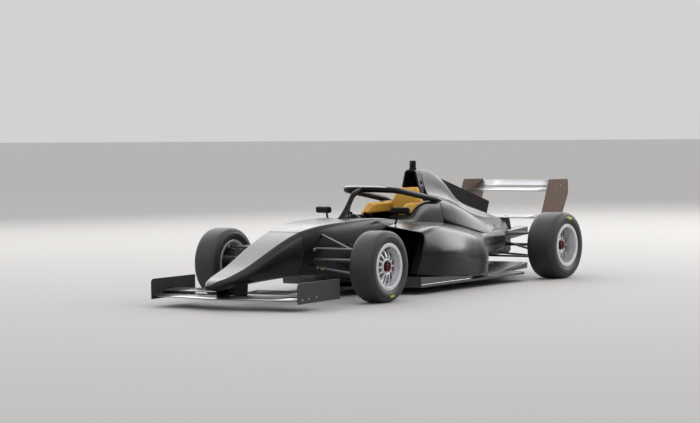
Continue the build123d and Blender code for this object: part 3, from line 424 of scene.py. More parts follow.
# Distance behind the tub, then half width and height of the base, shoulder, neck and spine
COVER_SECTIONS = [
    (0, 275, 540, 244, 706, 108, 750, 52, 960),
    (110, 290, 505, 248, 690, 106, 734, 48, 955),
    (220, 306, 478, 252, 663, 102, 712, 46, 934),
    (337, 322, 452, 250, 628, 97, 688, 41, 886),
    (480, 334, 420, 246, 580, 90, 640, 34, 796),
    (618, 336, 396, 240, 532, 83, 592, 30, 694),
    (760, 322, 382, 226, 498, 78, 552, 28, 640),
    (910, 288, 376, 202, 474, 74, 524, 26, 604),
    (1160, 190, 380, 150, 448, 80, 494, 28, 540),
    (1350, 104, 388, 94, 434, 68, 462, 34, 482),
]
COVER_ROWS = [1, 6, 55, 110, 165, 220, 280, 337, 410, 480, 550, 618, 715, 810, 910, 1000, 1080, 1160, 1255, 1349]


def cover_outline(values):
    """Outline of the cover, from one side's base over the spine's crest to the other's."""
    base, side, neck, spine = [Vector(values[k:k + 2]) for k in (0, 2, 4, 6)]
    top = Vector((0, spine.y))
    points = [top, Vector((spine.x * 0.5, spine.y - 2)), along(spine, top, 14), along(spine, neck, 20)]
    points += [(spine + neck) / 2, neck, (neck + side) / 2, along(side, neck, 26), along(side, base, 26)]
    return all_round(points + [(side + base) / 2, base])


def cover_place(row, column):
    point = cover_outline(between(COVER_SECTIONS, COVER_ROWS[row]))[column]
    return spot(point.x, TUB_REAR + COVER_ROWS[row], point.y)


cover = skin("cover_shell", "engine_cover", len(cover_outline(COVER_SECTIONS[0][1:])) - 1, len(COVER_ROWS) - 1,
             cover_place, COVER_WALL)

# The slick tyres are moulded rubber rings of 13-inch bead: a flat tread with round shoulders, sidewalls with
# fine moulding rings and a bare yellow-green band mark. The tread is painted a lighter grey in blotches, a painted
# sheen of the sky's light, and the rubber's roughness varies in the same blotches.
BEAD_RADIUS = 166
# Corner name, half track, station, radius, half width, rim half width, hub inset and the band mark's degrees
CORNERS = [
    ("front", 735, 0, 275, 106, 97, 20, -84),
    ("rear", 730, 2750, 282, 130, 122, 60, 84),
]
WHEELS = [(f"{end}_{side}", sign, spot(sign * track, station, radius), *rest)
          for end, track, station, radius, *rest in CORNERS for side, sign in SIDES]
# Bead, sidewall, shoulder and half the tread: share of the half width, and height over the bead as a share of
# the tyre's wall
TYRE_PROFILE = [
    (0.80, 0.0), (0.86, 0.03), (0.88, 0.10), (0.895, 0.15), (0.93, 0.20), (0.965, 0.28), (0.985, 0.37), (0.99, 0.375),
    (0.995, 0.40), (0.99, 0.425), (0.996, 0.45), (1.0, 0.53), (0.997, 0.60), (0.985, 0.68), (0.972, 0.685),
    (0.968, 0.71), (0.965, 0.76), (0.93, 0.84), (0.88, 0.905), (0.80, 0.955), (0.70, 0.982), (0.45, 0.996), (0.0, 1.0),
]


def turned_solid(profile, sign, centre, steps=72):
    """A closed profile of half width and radius, spun about the wheel's axle."""
    turned = bmesh.new()
    verts = [turned.verts.new((sign * x / 1000, 0, r / 1000)) for x, r in profile]
    edges = [turned.edges.new((verts[i - 1], verts[i])) for i in range(len(verts))]
    bmesh.ops.spin(turned, geom=verts + edges, cent=(0, 0, 0), axis=(1, 0, 0), angle=math.tau, steps=steps,
                   use_merge=True)
    bmesh.ops.translate(turned, verts=turned.verts, vec=centre)
    return finished(turned)


rubber, tree, shader = new_material("tyre_rubber")
place = {"Vector": added(tree, "TexCoord").outputs["Object"]}
scrub_and_sheen_blotches = added(tree, "TexNoise", {"Scale": 26.0, "Detail": 8.0}, place).outputs["Fac"]
grit = added(tree, "TexNoise", {"Scale": 700.0}, place).outputs["Fac"]
tread = added(tree, "Attribute", attribute_name="tread").outputs["Fac"]
mark = added(tree, "Attribute", attribute_name="band_mark").outputs["Fac"]
# The tread is painted lighter than the sidewalls, in blotches: a painted sheen of the sky's light on it.
painted_tread_sheen = added(tree, "Math", feeds={0: tread, 1: scrub_and_sheen_blotches}, operation="MULTIPLY").outputs["Value"]
tone = added(tree, "Mix", {6: (0.012, 0.012, 0.013, 1), 7: (0.034, 0.032, 0.031, 1)}, {0: painted_tread_sheen}, data_type="RGBA")
paint = added(tree, "Mix", {7: (0.42, 0.46, 0.03, 1)}, {0: mark, 6: tone.outputs[2]}, data_type="RGBA")
matt = added(tree, "MapRange", {"To Min": 0.42, "To Max": 0.62}, {"Value": scrub_and_sheen_blotches})
pits = added(tree, "Bump", {"Strength": 0.25, "Distance": 0.0006}, {"Height": grit})
wired(tree, shader, feeds={"Base Color": paint.outputs[2], "Roughness": matt.outputs["Result"],
                           "Normal": pits.outputs["Normal"]})

for corner, sign, centre, half, rim_half, inset, mark_at in WHEELS:
    radius = centre.z * 1000
    wall_height = radius - BEAD_RADIUS
    outer = [(share * half, BEAD_RADIUS + height * wall_height) for share, height in TYRE_PROFILE]
    profile = outer + [(-x, r) for x, r in reversed(outer[:-1])]
    tyre = new_piece(f"tyre_{corner}_slick", turned_solid(profile, 1, centre, 96))
    # The tread mask says where the tread's painted sheen goes.
    treads = tyre.data.attributes.new("tread", "FLOAT", "POINT")
    marks = tyre.data.attributes.new("band_mark", "FLOAT", "POINT")
    for vert in tyre.data.vertices:
        off = vert.co - centre
        reach = math.hypot(off.y, off.z) * 1000
        treads.data[vert.index].value = max(0.0, min(1.0, (reach - radius + 22) / 14))
        turned = math.degrees(math.atan2(off.z, off.y))
        on_band = 0.53 <= (reach - BEAD_RADIUS) / wall_height <= 0.61 and abs(turned - mark_at) < 9
        marks.data[vert.index].value = 1.0 if on_band and sign * off.x > 0 else 0.0
    dressed(tyre, (rubber, "tyre"), f"wheel_{corner}", f"tyre_{corner}")

# Each forged magnesium rim is held by one large anodised dark red nut with a socket for the wheel gun, and a
# short valve stands on its barrel's edge.
nut_red = speckled("nut_red", (0.07, 0.007, 0.009), 0.3, "caliper_grey", metal=0.85)
satin_black = speckled("satin_black", (0.006, 0.006, 0.0065), 0.42, gloss=0.14)


def rounded(solid, offset, segments, edges=None, clamp=False):
    """A solid with all its edges rounded, or the given ones."""
    bmesh.ops.bevel(solid, geom=list(solid.edges) if edges is None else edges, offset=offset, segments=segments,
                    affect="EDGES", profile=0.5, material=-1, clamp_overlap=clamp)
    return solid


def placed(solid, turn, place):
    """A solid turned about the origin and then moved to a place."""
    bmesh.ops.rotate(solid, verts=solid.verts, cent=(0, 0, 0), matrix=turn)
    bmesh.ops.translate(solid, verts=solid.verts, vec=place)
    return solid


def cone(base, tip, depth, segments):
    """A closed cone of two radii about the Z axis, and its top face."""
    solid = bmesh.new()
    bmesh.ops.create_cone(solid, cap_ends=True, segments=segments, radius1=base, radius2=tip, depth=depth)
    return solid, max(solid.faces, key=lambda face: face.calc_center_median().z)


def creased(solid, angle):
    return [edge for edge in solid.edges if edge.calc_face_angle(0) > angle]


for corner, sign, centre, half, rim_half, inset, mark_at in WHEELS:
    nut, top = cone(0.041, 0.036, 0.026, 12)
    for step, sink in ((0.009, -0.010), (0.010, 0.005)):
        bmesh.ops.inset_region(nut, faces=[top], thickness=step, depth=0.0)
        bmesh.ops.translate(nut, verts=top.verts, vec=(0, 0, sink))
    rounded(nut, 0.0015, 2, creased(nut, 0.5))
    placed(nut, Matrix.Rotation(sign * math.pi / 2, 3, "Y"),
           centre + Vector((sign * (rim_half - inset - 2) / 1000, 0, 0)))
    dressed(new_piece(f"wheel_nut_{corner}", nut), nut_red, f"wheel_{corner}")
    valve, top = cone(0.004, 0.003, 0.022, 12)
    rounded(valve, 0.001, 2, creased(valve, 0.8))
    placed(valve, Matrix.Rotation(sign * 1.35, 3, "Y"),
           centre + Vector((sign * (rim_half - 26) / 1000, 0.030, 0.140)))
    dressed(new_piece(f"valve_{corner}", valve), satin_black, f"wheel_{corner}")

# The roll hoop is a carbon arch over the seat back. Its mouth is the engine's air inlet, with a rolled edge
# and a lifting hole in each cheek, drawn as a flat near-black patch: painted shade in place of a cut hole.
# The camera housing stands on a round collar above it.
SHARP = math.radians(32)


def softened(node, name, finish, width, flat=1.0):
    """A copy of a solid with its facets joined and its sharp edges rounded, shown in place of the plain one."""
    host = frame["nodes"][node]
    copy = bmesh.new()
    copy.from_mesh(host.data)
    bmesh.ops.remove_doubles(copy, verts=copy.verts, dist=0.00005)
    bmesh.ops.dissolve_limit(copy, angle_limit=math.radians(flat), verts=copy.verts, edges=copy.edges)
    sharp = [edge for edge in copy.edges if edge.is_manifold and edge.calc_face_angle(0) > SHARP]
    rounded(copy, width, 3, sharp, clamp=True)
    for face in copy.faces:
        face.smooth = True
    piece = new_piece(name, copy)
    piece.modifiers.new("normals", "WEIGHTED_NORMAL")
    return dressed(piece, finish, host.parent.name.split(":")[1], node)


def filleted(corners, radii, step=0.012):
    """Points along a line of straight legs whose inner corners are arcs, in millimetres in, metres out."""
    points = [spot(*corner) for corner in corners]
    path = [points[0]]
    for last, here, following, radius in zip(points, points[1:], points[2:], radii):
        before = (last - here).normalized()
        after = (following - here).normalized()
        half = before.angle(after) / 2
        tangent = radius / 1000 / math.tan(half)
        centre = here + (before + after).normalized() * (radius / 1000 / math.sin(half))
        start = here + before * tangent - centre
        end = here + after * tangent - centre
        count = max(3, int(start.angle(end) * start.length / step))
        swing = start.rotation_difference(end)
        path += [centre + Matrix.Rotation(swing.angle * k / count, 3, swing.axis) @ start for k in range(count + 1)]
    path.append(points[-1])
    fine = [path[0]]
    for low, high in zip(path, path[1:]):
        count = max(1, round((high - low).length / (2 * step)))
        fine += [low.lerp(high, (k + 1) / count) for k in range(count)]
    return fine


def lofted(name, around, lengths, place, *dress):
    """A closed bar or blade: a grid whose columns go round it and whose rows go along it, its ends filled."""
    solid = mapped_grid(around, lengths, place)
    bmesh.ops.remove_doubles(solid, verts=solid.verts, dist=0.00002)
    bmesh.ops.holes_fill(solid, edges=[edge for edge in solid.edges if edge.is_boundary], sides=0)
    return dressed(new_piece(name, finished(solid, flat_caps=True)), *dress)


def swept(name, path, sizes, sides, finish, body="chassis", side_way=(1, 0, 0), node=None, slot=None):
    """A bar along a path, with a half width along side_way and a half depth across it that may vary."""
    last = len(path) - 1

    def place(row, column):
        angle = column / sides * math.tau
        along_way = (path[min(row + 1, last)] - path[max(row - 1, 0)]).normalized()
        side = Vector(side_way) - along_way * along_way.dot(Vector(side_way))
        side = side.normalized() if side.length > 0.2 else along_way.orthogonal().normalized()
        wide, deep = sizes(row / last) if callable(sizes) else sizes
        return path[row] + side * (wide * math.cos(angle)) + along_way.cross(side) * (deep * math.sin(angle))

    return lofted(name, sides, last, place, finish, body, node, slot)


def block(size, place, round_edges, segments=3, turn=Matrix.Identity(3)):
    """A bmesh block of a size in metres, its edges rounded, turned and set at a place."""
    solid = bmesh.new()
    bmesh.ops.create_cube(solid, size=1)
    bmesh.ops.scale(solid, verts=solid.verts, vec=size)
    placed(rounded(solid, round_edges, segments), turn, place)
    for face in solid.faces:
        face.smooth = True
    return solid


def joined(name, solids, finish, body="chassis", node=None, slot=None):
    """Several bmesh solids as one piece."""
    whole = bmesh.new()
    for solid in solids:
        part = bpy.data.meshes.new("part")
        solid.to_mesh(part)
        solid.free()
        whole.from_mesh(part)
        bpy.data.meshes.remove(part)
    piece = new_piece(name, whole)
    piece.modifiers.new("normals", "WEIGHTED_NORMAL")
    return dressed(piece, finish, body, node, slot)


def stud(place, way, radius, height, sides=16):
    """A round head that stands on a surface, with a shallow dish in its top."""
    head, top = cone(radius, radius * 0.86, height, sides)
    bmesh.ops.inset_region(head, faces=[top], thickness=radius * 0.35, depth=0.0)
    bmesh.ops.translate(head, verts=top.verts, vec=(0, 0, -height * 0.25))
    return placed(head, Vector(way).to_track_quat("Z", "Y").to_matrix(), place)


def on_flank(host, sign, station, height):
    """Where a level line across the car meets a side of a dressed piece, and the way out of it there."""
    shown = host.evaluated_get(bpy.context.evaluated_depsgraph_get())
    hit, point, normal, _ = shown.ray_cast(spot(sign * 1000, station, height), Vector((-sign, 0, 0)))
    if not hit:
        raise ValueError(f"no flank of {host.name} at station {station}, height {height}")
    return point, normal


# A matt near-black for the wheel's grips and the cover's joint lines, and as painted shade for the lifting holes.
recess_black = speckled("recess_black", (0.002, 0.002, 0.002), 0.9, "satin_black", gloss=0.1)
hoop = softened("roll_hoop", "air_box_front", body_black, 0.006)
softened("camera_pod", "camera_housing", satin_black, 0.003, 0.5)
# Each lifting hole is a flat near-black patch on the hoop's cheek: painted shade in place of a cut hole.
for side, sign in SIDES:
    point, normal = on_flank(hoop, sign, 1658, 852)
    turn = normal.to_track_quat("X", "Z").to_matrix()
    hole = block((0.004, 0.030, 0.030), point + normal * 0.0002, 0.0019, 2, turn)
    joined(f"lifting_hole_{side}", [hole], recess_black)
lens_glass = speckled("lens_glass", (0.01, 0.01, 0.012), 0.06, "satin_black", coat=1.0)
joined("camera_lens", [stud(spot(0, 1629.5, 1012), (0, -1, 0), 0.011, 0.006, 24)], lens_glass)

# The halo is a welded titanium ring on a front pillar, painted black. The pillar stands in a flared carbon
# fairing that is bolted to the survival cell, and the ring's ends are bolted to its rear corners.
HALO_CORNERS = [(246, 1690, 702), (250, 1030, 813), (152, 898, 824), (-152, 898, 824), (-250, 1030, 813),
                (-246, 1690, 702)]
HALO_BENDS = [260, 120, 120, 260]
PILLAR_CORNERS = [(0, 596, 560), (0, 690, 706), (0, 760, 790), (0, 905, 824)]
PILLAR_BENDS = [150, 110]


def ring_size(share):
    thin = min(1.0, 0.35 + min(share, 1 - share) / 0.035 * 0.65)
    return 0.024 * thin, 0.024 * (0.5 + 0.5 * thin)


def pillar_size(share):
    flare = max(0.0, 1 - share / 0.36) ** 1.5
    return 0.0185 + 0.016 * flare, 0.0225 + 0.052 * flare


ring_path = filleted(HALO_CORNERS, HALO_BENDS)
swept("halo_ring", ring_path, ring_size, 28, satin_black, side_way=(0, 0, 1), node="halo")
swept("halo_pillar", filleted(PILLAR_CORNERS, PILLAR_BENDS), pillar_size, 28, satin_black)
bolts = [stud(spot(x, station, height), (1, 0, 0.1), 0.006, 0.006)
         for x, station, height in ((28.36, 668, 622), (28.36, 624, 622), (21.1, 682.05, 655))]
bolts += [stud(spot(sign * 258, station, 732 - station * 0.02), (sign, 0, 0.9), 0.006, 0.008)
          for side, sign in SIDES for station in (1600, 1650)]
steel_bright = speckled("steel_bright", (0.55, 0.55, 0.57), 0.3, "steel_dark", metal=1.0)
joined("halo_bolts", bolts, steel_bright)

# The mirrors are small moulded housings, turned towards the driver, each on a bent stalk with a foot that is
# bolted to the cockpit's side. A glass is set into the rear of each.
mirror_glass = speckled("mirror_glass", (0.75, 0.77, 0.80), 0.03, "satin_black", metal=1.0, spread=0.02)
for side, sign in SIDES:
    toe = Matrix.Rotation(math.radians(13 * sign), 3, "Z")
    place = spot(sign * 372, 878, 658)
    shell = block((0.160, 0.046, 0.054), place, 0.017, 5, toe)
    joined(f"mirror_housing_{side}", [shell], satin_black, node="mirrors" if sign < 0 else None)
    glass = block((0.140, 0.004, 0.040), place + toe @ Vector((0, 0.0225, 0)), 0.0015, 2, toe)
    joined(f"mirror_glass_{side}", [glass], mirror_glass)
    stalk_path = filleted([(sign * 345, 880, 640), (sign * 336, 880, 596), (sign * 318, 884, 545)], [60])
    swept(f"mirror_stalk_{side}", stalk_path, (0.0055, 0.009), 16, satin_black, side_way=(0, 1, 0))

# The headrest is a horseshoe of foam in a gold cover: two side pads and a taller one behind the driver's
# head. Each is a stuffed cushion with a sewn edge, held in the cockpit's rim by its tight fit.
BLOW_FRAMES = 20
SIDE_PAD = [(1163, 606), (1606, 606), (1606, 702), (1350, 706), (1270, 694)]
BACK_PAD = [(1532, 606), (1604, 606), (1606, 700), (1606, 822), (1546, 822), (1534, 716)]


def prism(corners, shift):
    """A flat outline of points carried along a shift into a closed solid."""
    solid = bmesh.new()
    face = solid.faces.new([solid.verts.new(corner) for corner in corners])
    grown = bmesh.ops.extrude_face_region(solid, geom=[face])["geom"]
    moved = [item for item in grown if isinstance(item, bmesh.types.BMVert)]
    bmesh.ops.translate(solid, verts=moved, vec=shift)
    bmesh.ops.recalc_face_normals(solid, faces=solid.faces)
    return solid


def side_view(corners, x):
    """Points at one half width from stations and heights."""
    return [spot(x, station, height) for station, height in corners]


def stuffed(name, solid, finish, swell):
    """A cushion blown up from a plain form, its points held to a limit, then smoothed."""
    form = joined(name, [solid], finish)
    form.modifiers.clear()
    mesher = form.modifiers.new("even", "REMESH")
    mesher.mode = "VOXEL"
    mesher.voxel_size = 0.006
    even = bpy.data.meshes.new_from_object(form.evaluated_get(bpy.context.evaluated_depsgraph_get()))
    form.modifiers.clear()
    form.data = even
    even.materials.clear()
    even.materials.append(finish[0])
    blow = form.modifiers.new("blow", "CLOTH")
    cloth = blow.settings
    cloth.quality = 5
    cloth.mass = 0.3
    cloth.tension_stiffness = cloth.compression_stiffness = 12
    cloth.bending_stiffness = 0.4
    cloth.use_pressure = True
    cloth.uniform_pressure_force = 4.0
    cloth.effector_weights.gravity = 0
    blow.point_cache.frame_start = 1
    blow.point_cache.frame_end = BLOW_FRAMES
    for number in range(1, BLOW_FRAMES + 1):
        bpy.context.scene.frame_set(number)
    blown = form.evaluated_get(bpy.context.evaluated_depsgraph_get())
    moved = [vert.co.copy() for vert in blown.data.vertices]
    form.modifiers.clear()
    bpy.context.scene.frame_set(1)
    for vert, end in zip(even.vertices, moved):
        way = end - vert.co
        vert.co += way.normalized() * min(way.length, swell)
    for face in even.polygons:
        face.use_smooth = True
    soft = form.modifiers.new("smooth", "SUBSURF")
    soft.levels = soft.render_levels = 1
    return form


gold_cover = speckled("foam_gold_cover", (0.56, 0.31, 0.05), 0.72, "foam_gold", 520.0, 0.10, 0.25, gloss=0.3)
for side, sign in SIDES:
    pad = rounded(prism(side_view(SIDE_PAD, sign * 160), (sign * 0.054, 0, 0)), 0.008, 3)
    stuffed(f"headrest_{side}_pad", pad, gold_cover, 0.008)
back_pad = rounded(prism(side_view(BACK_PAD, -144), (0.288, 0, 0)), 0.012, 3)
for vert in back_pad.verts:
    vert.co.x *= 1 - max(0.0, vert.co.z - 0.700) * 2.9
rear_pad = stuffed("headrest_back_pad", back_pad, gold_cover, 0.010)
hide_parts("headrest")

# The rims are turned from a forged magnesium blank: a deep barrel with a bright lip and twelve slim spokes
# that widen where they meet the barrel, so that the gaps between them are shaped like drops.
SPOKES = 12
# Radius, half width and how far the spoke's front lies behind the hub's face
SPOKE_ROWS = [(58, 9.5, 3), (72, 7.5, 4), (88, 7.0, 8), (104, 7.5, 15), (118, 9.5, 22), (130, 14.0, 29),
              (141, 22.0, 33)]


def spoke_solid(face, sign):
    """One upright spoke of a rim, its long edges rounded."""
    spoke = bmesh.new()
    rows = []
    for radius, wide, behind in SPOKE_ROWS:
        high = face - behind
        low = high - (20 if radius < 120 else 24)
        section = [(high, -wide * 0.72), (high, wide * 0.72), (high - 3, wide), (low, wide * 0.8),
                   (low, -wide * 0.8), (high - 3, -wide)]
        rows.append([spoke.verts.new((x * sign / 1000, y / 1000, radius / 1000)) for x, y in section])
    for low, high in zip(rows, rows[1:]):
        for k in range(6):
            spoke.faces.new((low[k], low[(k + 1) % 6], high[(k + 1) % 6], high[k]))
    spoke.faces.new(rows[0])
    spoke.faces.new(rows[-1])
    bmesh.ops.recalc_face_normals(spoke, faces=spoke.faces)
    rounded(spoke, 0.0012, 2, [edge for edge in spoke.edges if abs(edge.verts[0].co.z - edge.verts[1].co.z) > 0.006])
    for polygon in spoke.faces:
        polygon.smooth = True
    return spoke


def rim_solids(centre, sign, rim_half, inset):
    """Barrel, hub and spokes of one rim, its outer face towards the sign's side."""
    face = rim_half - inset
    barrel = [
        (rim_half - 1, 153), (rim_half, 156), (rim_half, 180), (rim_half - 3, 182), (rim_half - 9, 182),
        (rim_half - 11, 179), (rim_half - 12, 168), (rim_half - 14, BEAD_RADIUS), (rim_half - 34, 165),
        (rim_half - 46, 152), (46 - rim_half, 152), (34 - rim_half, 165), (12 - rim_half, BEAD_RADIUS),
        (11 - rim_half, 180), (3 - rim_half, 182), (-rim_half, 180), (-rim_half, 162), (36 - rim_half, 158),
        (46 - rim_half, 145), (face - 64, 145), (face - 40, 143), (face - 33, 137), (face - 28, 138),
        (rim_half - 24, 149), (rim_half - 8, 151),
    ]
    hub = [(face - 52, 30), (face - 52, 64), (face - 12, 65), (face - 3, 62), (face, 58), (face, 52),
           (face - 3, 50), (face - 15, 48), (face - 16, 30)]
    return [turned_solid(barrel, sign, centre), turned_solid(hub, sign, centre)] + [
        placed(spoke_solid(face, sign), Matrix.Rotation(math.tau * i / SPOKES, 3, "X"), centre)
        for i in range(SPOKES)]


rim_silver = speckled("rim_silver_paint", (0.60, 0.60, 0.62), 0.30, "rim_silver", spread=0.04, metal=0.55)
for corner, sign, centre, half, rim_half, inset, mark_at in WHEELS:
    joined(f"rim_{corner}_wheel", rim_solids(centre, sign, rim_half, inset), rim_silver,
           f"wheel_{corner}", f"rim_{corner}")

# Behind each rim a drilled iron disc is bolted to a bell on the axle. The caliper is an anodised casting
# over the disc's rear edge, and the upright carries both.
DISC = [(-30, 62), (-30, 118), (-10, 118), (-10, 62)]
AXLE_BAR = [(-95, 8), (-95, 28), (-29, 28), (-29, 8)]
DISC_BOLTS = 8
DISC_HOLES = 20


def rounded_profile(profile, cut):
    """A closed outline with each corner replaced by two points a short way along its sides."""
    corners = []
    for k, here in enumerate(profile):
        for other in (profile[k - 1], profile[(k + 1) % len(profile)]):
            way = Vector(other) - Vector(here)
            corners.append(tuple(Vector(here) + way.normalized() * min(cut, way.length * 0.4)))
    return corners


def round_axle(x, reach, angle):
    return Vector((x, reach * math.cos(angle), reach * math.sin(angle))) / 1000


casting = speckled("casting", (0.07, 0.07, 0.072), 0.5, metal=0.7)
disc_face = speckled("disc_face", (0.24, 0.23, 0.22), 0.33, "disc_iron", grain=160.0, spread=0.2, metal=0.95)
caliper_grey = speckled("caliper_grey", (0.16, 0.16, 0.17), 0.4, metal=0.6)
for corner, sign, centre, half, rim_half, inset, mark_at in WHEELS:
    end = rim_half - inset - 52
    bell = [(-30, 12), (-30, 50), (-26, 64), (-14, 64), (-10, 48), (end - 4, 46), (end, 40), (end, 12)]
    solids = [turned_solid(rounded_profile(profile, cut), sign, centre)
              for profile, cut in ((DISC, 1.2), (bell, 1.5), (AXLE_BAR, 1.5))]
    solids += [stud(centre + round_axle(-9 * sign, 56, math.tau * (k + 0.5) / DISC_BOLTS), (sign, 0, 0), 0.005,
                    0.006, 12) for k in range(DISC_BOLTS)]
    solids += [stud(centre + round_axle(-9.8 * sign, reach, math.tau * k / DISC_HOLES + reach / 40),
                    (-sign, 0, 0), 0.0035, 0.0010, 10) for k in range(DISC_HOLES) for reach in (80, 100)]
    joined(f"brake_disc_{corner}", solids, disc_face, f"wheel_{corner}", f"brake_hub_{corner}")
    softened(f"caliper_{corner}", f"brake_caliper_{corner}", caliper_grey, 0.005)
    softened(f"upright_{corner}", f"hub_carrier_{corner}", casting, 0.003)

# The wings are thin hollow carbon aerofoils with a polished upper skin, which carries the sky's light. They
# are bolted between flat endplates.
BLADE_AROUND = 28
REAR_SPAN = (-431, -200, 0, 200, 431)
FRONT_HALF = 676
FRONT_SPAN = (-FRONT_HALF, -450, -225, -60, 60, 225, 450, FRONT_HALF)


def blade(name, rows, finish, node=None, slot=None):
    """An aerofoil through rows of half width, station, height, chord, thickness, sag and slope."""

    def place(row, column):
        x, station, height, chord, thick, sag, slope = rows[row]
        angle = column / BLADE_AROUND * math.tau
        share = (1 + math.cos(angle)) / 2
        half = thick * (1.45 * math.sqrt(share) * (1 - share) + 0.06 * share)
        rise = half if math.sin(angle) > 0 else -half if math.sin(angle) < -1e-6 else 0
        y, z = chord * share, rise - sag * 4 * share * (1 - share)
        tilt = math.radians(slope)
        return spot(x, station + y * math.cos(tilt) - z * math.sin(tilt),
                    height + y * math.sin(tilt) + z * math.cos(tilt))

    return lofted(name, BLADE_AROUND, len(rows) - 1, place, finish, "chassis", node, slot)


wing_skin = speckled("wing_skin", (0.19, 0.19, 0.20), 0.30, "satin_black", 60.0, 0.03, 0.0, metal=0.9)
bright_skin = speckled("bright_wing_skin", (0.30, 0.30, 0.31), 0.24, "body_black", 60.0, 0.03, 0.0, metal=0.9)
for name, node, row in (
    ("rear_main_plane", "rear_wing", (3248, 722, 176, 13, 7, 11)),
    ("rear_flap_plane", None, (3406, 762, 108, 8, 6, 26)),
    ("beam_plane", "beam_wing", (3050, 494, 172, 12, 6, 6)),
):
    blade(name, [(x, *row) for x in REAR_SPAN], wing_skin, node)
front_rows = [(x, -1100 + 100 * abs(x) / FRONT_HALF, 84, 252, 17, 4, 2.4) for x in FRONT_SPAN]
blade("front_main_plane", front_rows, bright_skin, "front_wing_plane")
for side, sign in SIDES:
    blade(f"front_flap_{side}", [(sign * x, -862, 114, 172, 11, 3, 5) for x in (94, 250, 460, FRONT_HALF)],
          body_black, "front_wing_flaps" if sign < 0 else None, "satin_black")
plate_grey = speckled("plate_grey", (0.034, 0.034, 0.035), 0.45, gloss=0.3)
plate_brown = speckled("plate_brown", (0.10, 0.055, 0.038), 0.45)
softened("front_endplates", "front_wing_endplates", plate_grey, 0.0022)
softened("rear_endplates", "rear_wing_endplates", plate_brown, 0.0022)
softened("wing_pylon", "beam_wing_pylon", satin_black, 0.003)
softened("fin", "cover_fin", satin_black, 0.0015)
bolts = []
for side, sign in SIDES:
    for x, radius, places in (
        (684.5, 0.0065, ((-954, 87), (-871, 90), (-770, 97))),
        (439.5, 0.0055, ((3290, 745), (3380, 772), (3460, 790), (3100, 500), (3180, 510))),
    ):
        bolts += [stud(point, (sign, 0, 0), radius, 0.004) for point in side_view(places, sign * x)]
joined("endplate_bolts", bolts, steel_bright)

# The floor is a flat carbon plate with a turned-up front edge, a stepped plank and a kicked-up sheet ahead of
# each rear tyre. A thin bright steel strip along each side edge is a painted highlight where the lip catches light.
RAMP = [(352, 1985, 79), (470, 1915, 79), (560, 1905, 79), (592, 2060, 92), (592, 2440, 148), (352, 2440, 148)]
floor_carbon = speckled("floor_carbon_sheet", (0.02, 0.02, 0.021), 0.30, "floor_carbon", 300.0, gloss=0.6, coat=0.4)
softened("floor", "floor_plate", floor_carbon, 0.0020)
softened("diffuser", "rear_diffuser", floor_carbon, 0.0015)
for side, sign in SIDES:
    sheet = prism([spot(sign * x, station, height) for x, station, height in RAMP], (0, 0, 0.004))
    joined(f"floor_ramp_{side}", [rounded(sheet, 0.0012, 2)], wing_skin, slot="floor_carbon")
# A thin bright steel strip on each side edge of the floor stands in for the highlight on its lip: a painted highlight.
lip_highlight_strips = [block((0.004, 0.74, 0.006), spot(sign * 669, 1075, 82), 0.0015, 2) for side, sign in SIDES]
joined("floor_edge_strips", lip_highlight_strips, steel_bright, slot="floor_carbon")

# Two flat carbon blades hang the front wing from the nose. A slotted cross plate between them stiffens the
# pair, and short brackets with bright rod ends carry the suspension on the survival cell.
PYLON = [(-968, 92), (-818, 92), (-800, 250), (-1000, 200)]
PLATE_STATION = -885
for side, sign in SIDES:
    pylon = prism(side_view(PYLON, sign * 83 - 8), (0.016, 0, 0))
    joined(f"nose_pylon_{side}", [rounded(pylon, 0.006, 4)], satin_black, slot="body_black")
bars = [block((0.150, 0.006, tall), spot(0, PLATE_STATION, height), 0.0015, 2)
        for tall, height in ((0.039, 150.5), (0.017, 112.5))]
bars += [block((0.046, 0.0056, 0.014), spot(sign * 52, PLATE_STATION, 126), 0.001, 2) for side, sign in SIDES]
joined("pylon_cross_plate", bars, satin_black, slot="body_black")
rod_ends = [stud(spot(sign * x, station, height), (sign, -0.3, 0.1), 0.013, 0.016, 20) for side, sign in SIDES
            for x, station, height in ((243, -150, 404), (232, -100, 262), (262, 320, 416), (262, 330, 250))]
joined("rod_ends", rod_ends, steel_bright)
tape_yellow = speckled("tape_yellow", (0.50, 0.38, 0.02), 0.5, "steel_dark")
tapes = [block((0.022, 0.012, 0.010), spot(sign * 252, -60, 246), 0.003) for side, sign in SIDES]
joined("rod_end_seals", tapes, tape_yellow)
rod_grey = speckled("rod_grey", (0.16, 0.16, 0.17), 0.35, "steel_dark", metal=0.7, spread=0.05)
steel_dark = speckled("steel_dark", (0.03, 0.03, 0.032), 0.35, coat=0.2)
softened("front_wishbones", "front_links", rod_grey, 0.001, 0.2)
softened("rear_wishbones", "rear_links", steel_dark, 0.001, 0.2)

# The steering wheel has a carbon centre box with a display and switches, and two moulded grips. It sits on a
# steel column that passes through the dash bulkhead.
tilt = Matrix.Rotation(math.radians(11), 3, "X")
wheel_place = spot(0, 835, 570)
column_way = tilt @ Vector((0, -1, 0))
SWITCHES = [("red", (0.45, 0.02, 0.02)), ("green", (0.02, 0.25, 0.04)), ("blue", (0.02, 0.08, 0.40)),
            ("yellow", (0.55, 0.42, 0.02))]


def on_wheel(x, y, z):
    return wheel_place + tilt @ Vector((x, y, z))


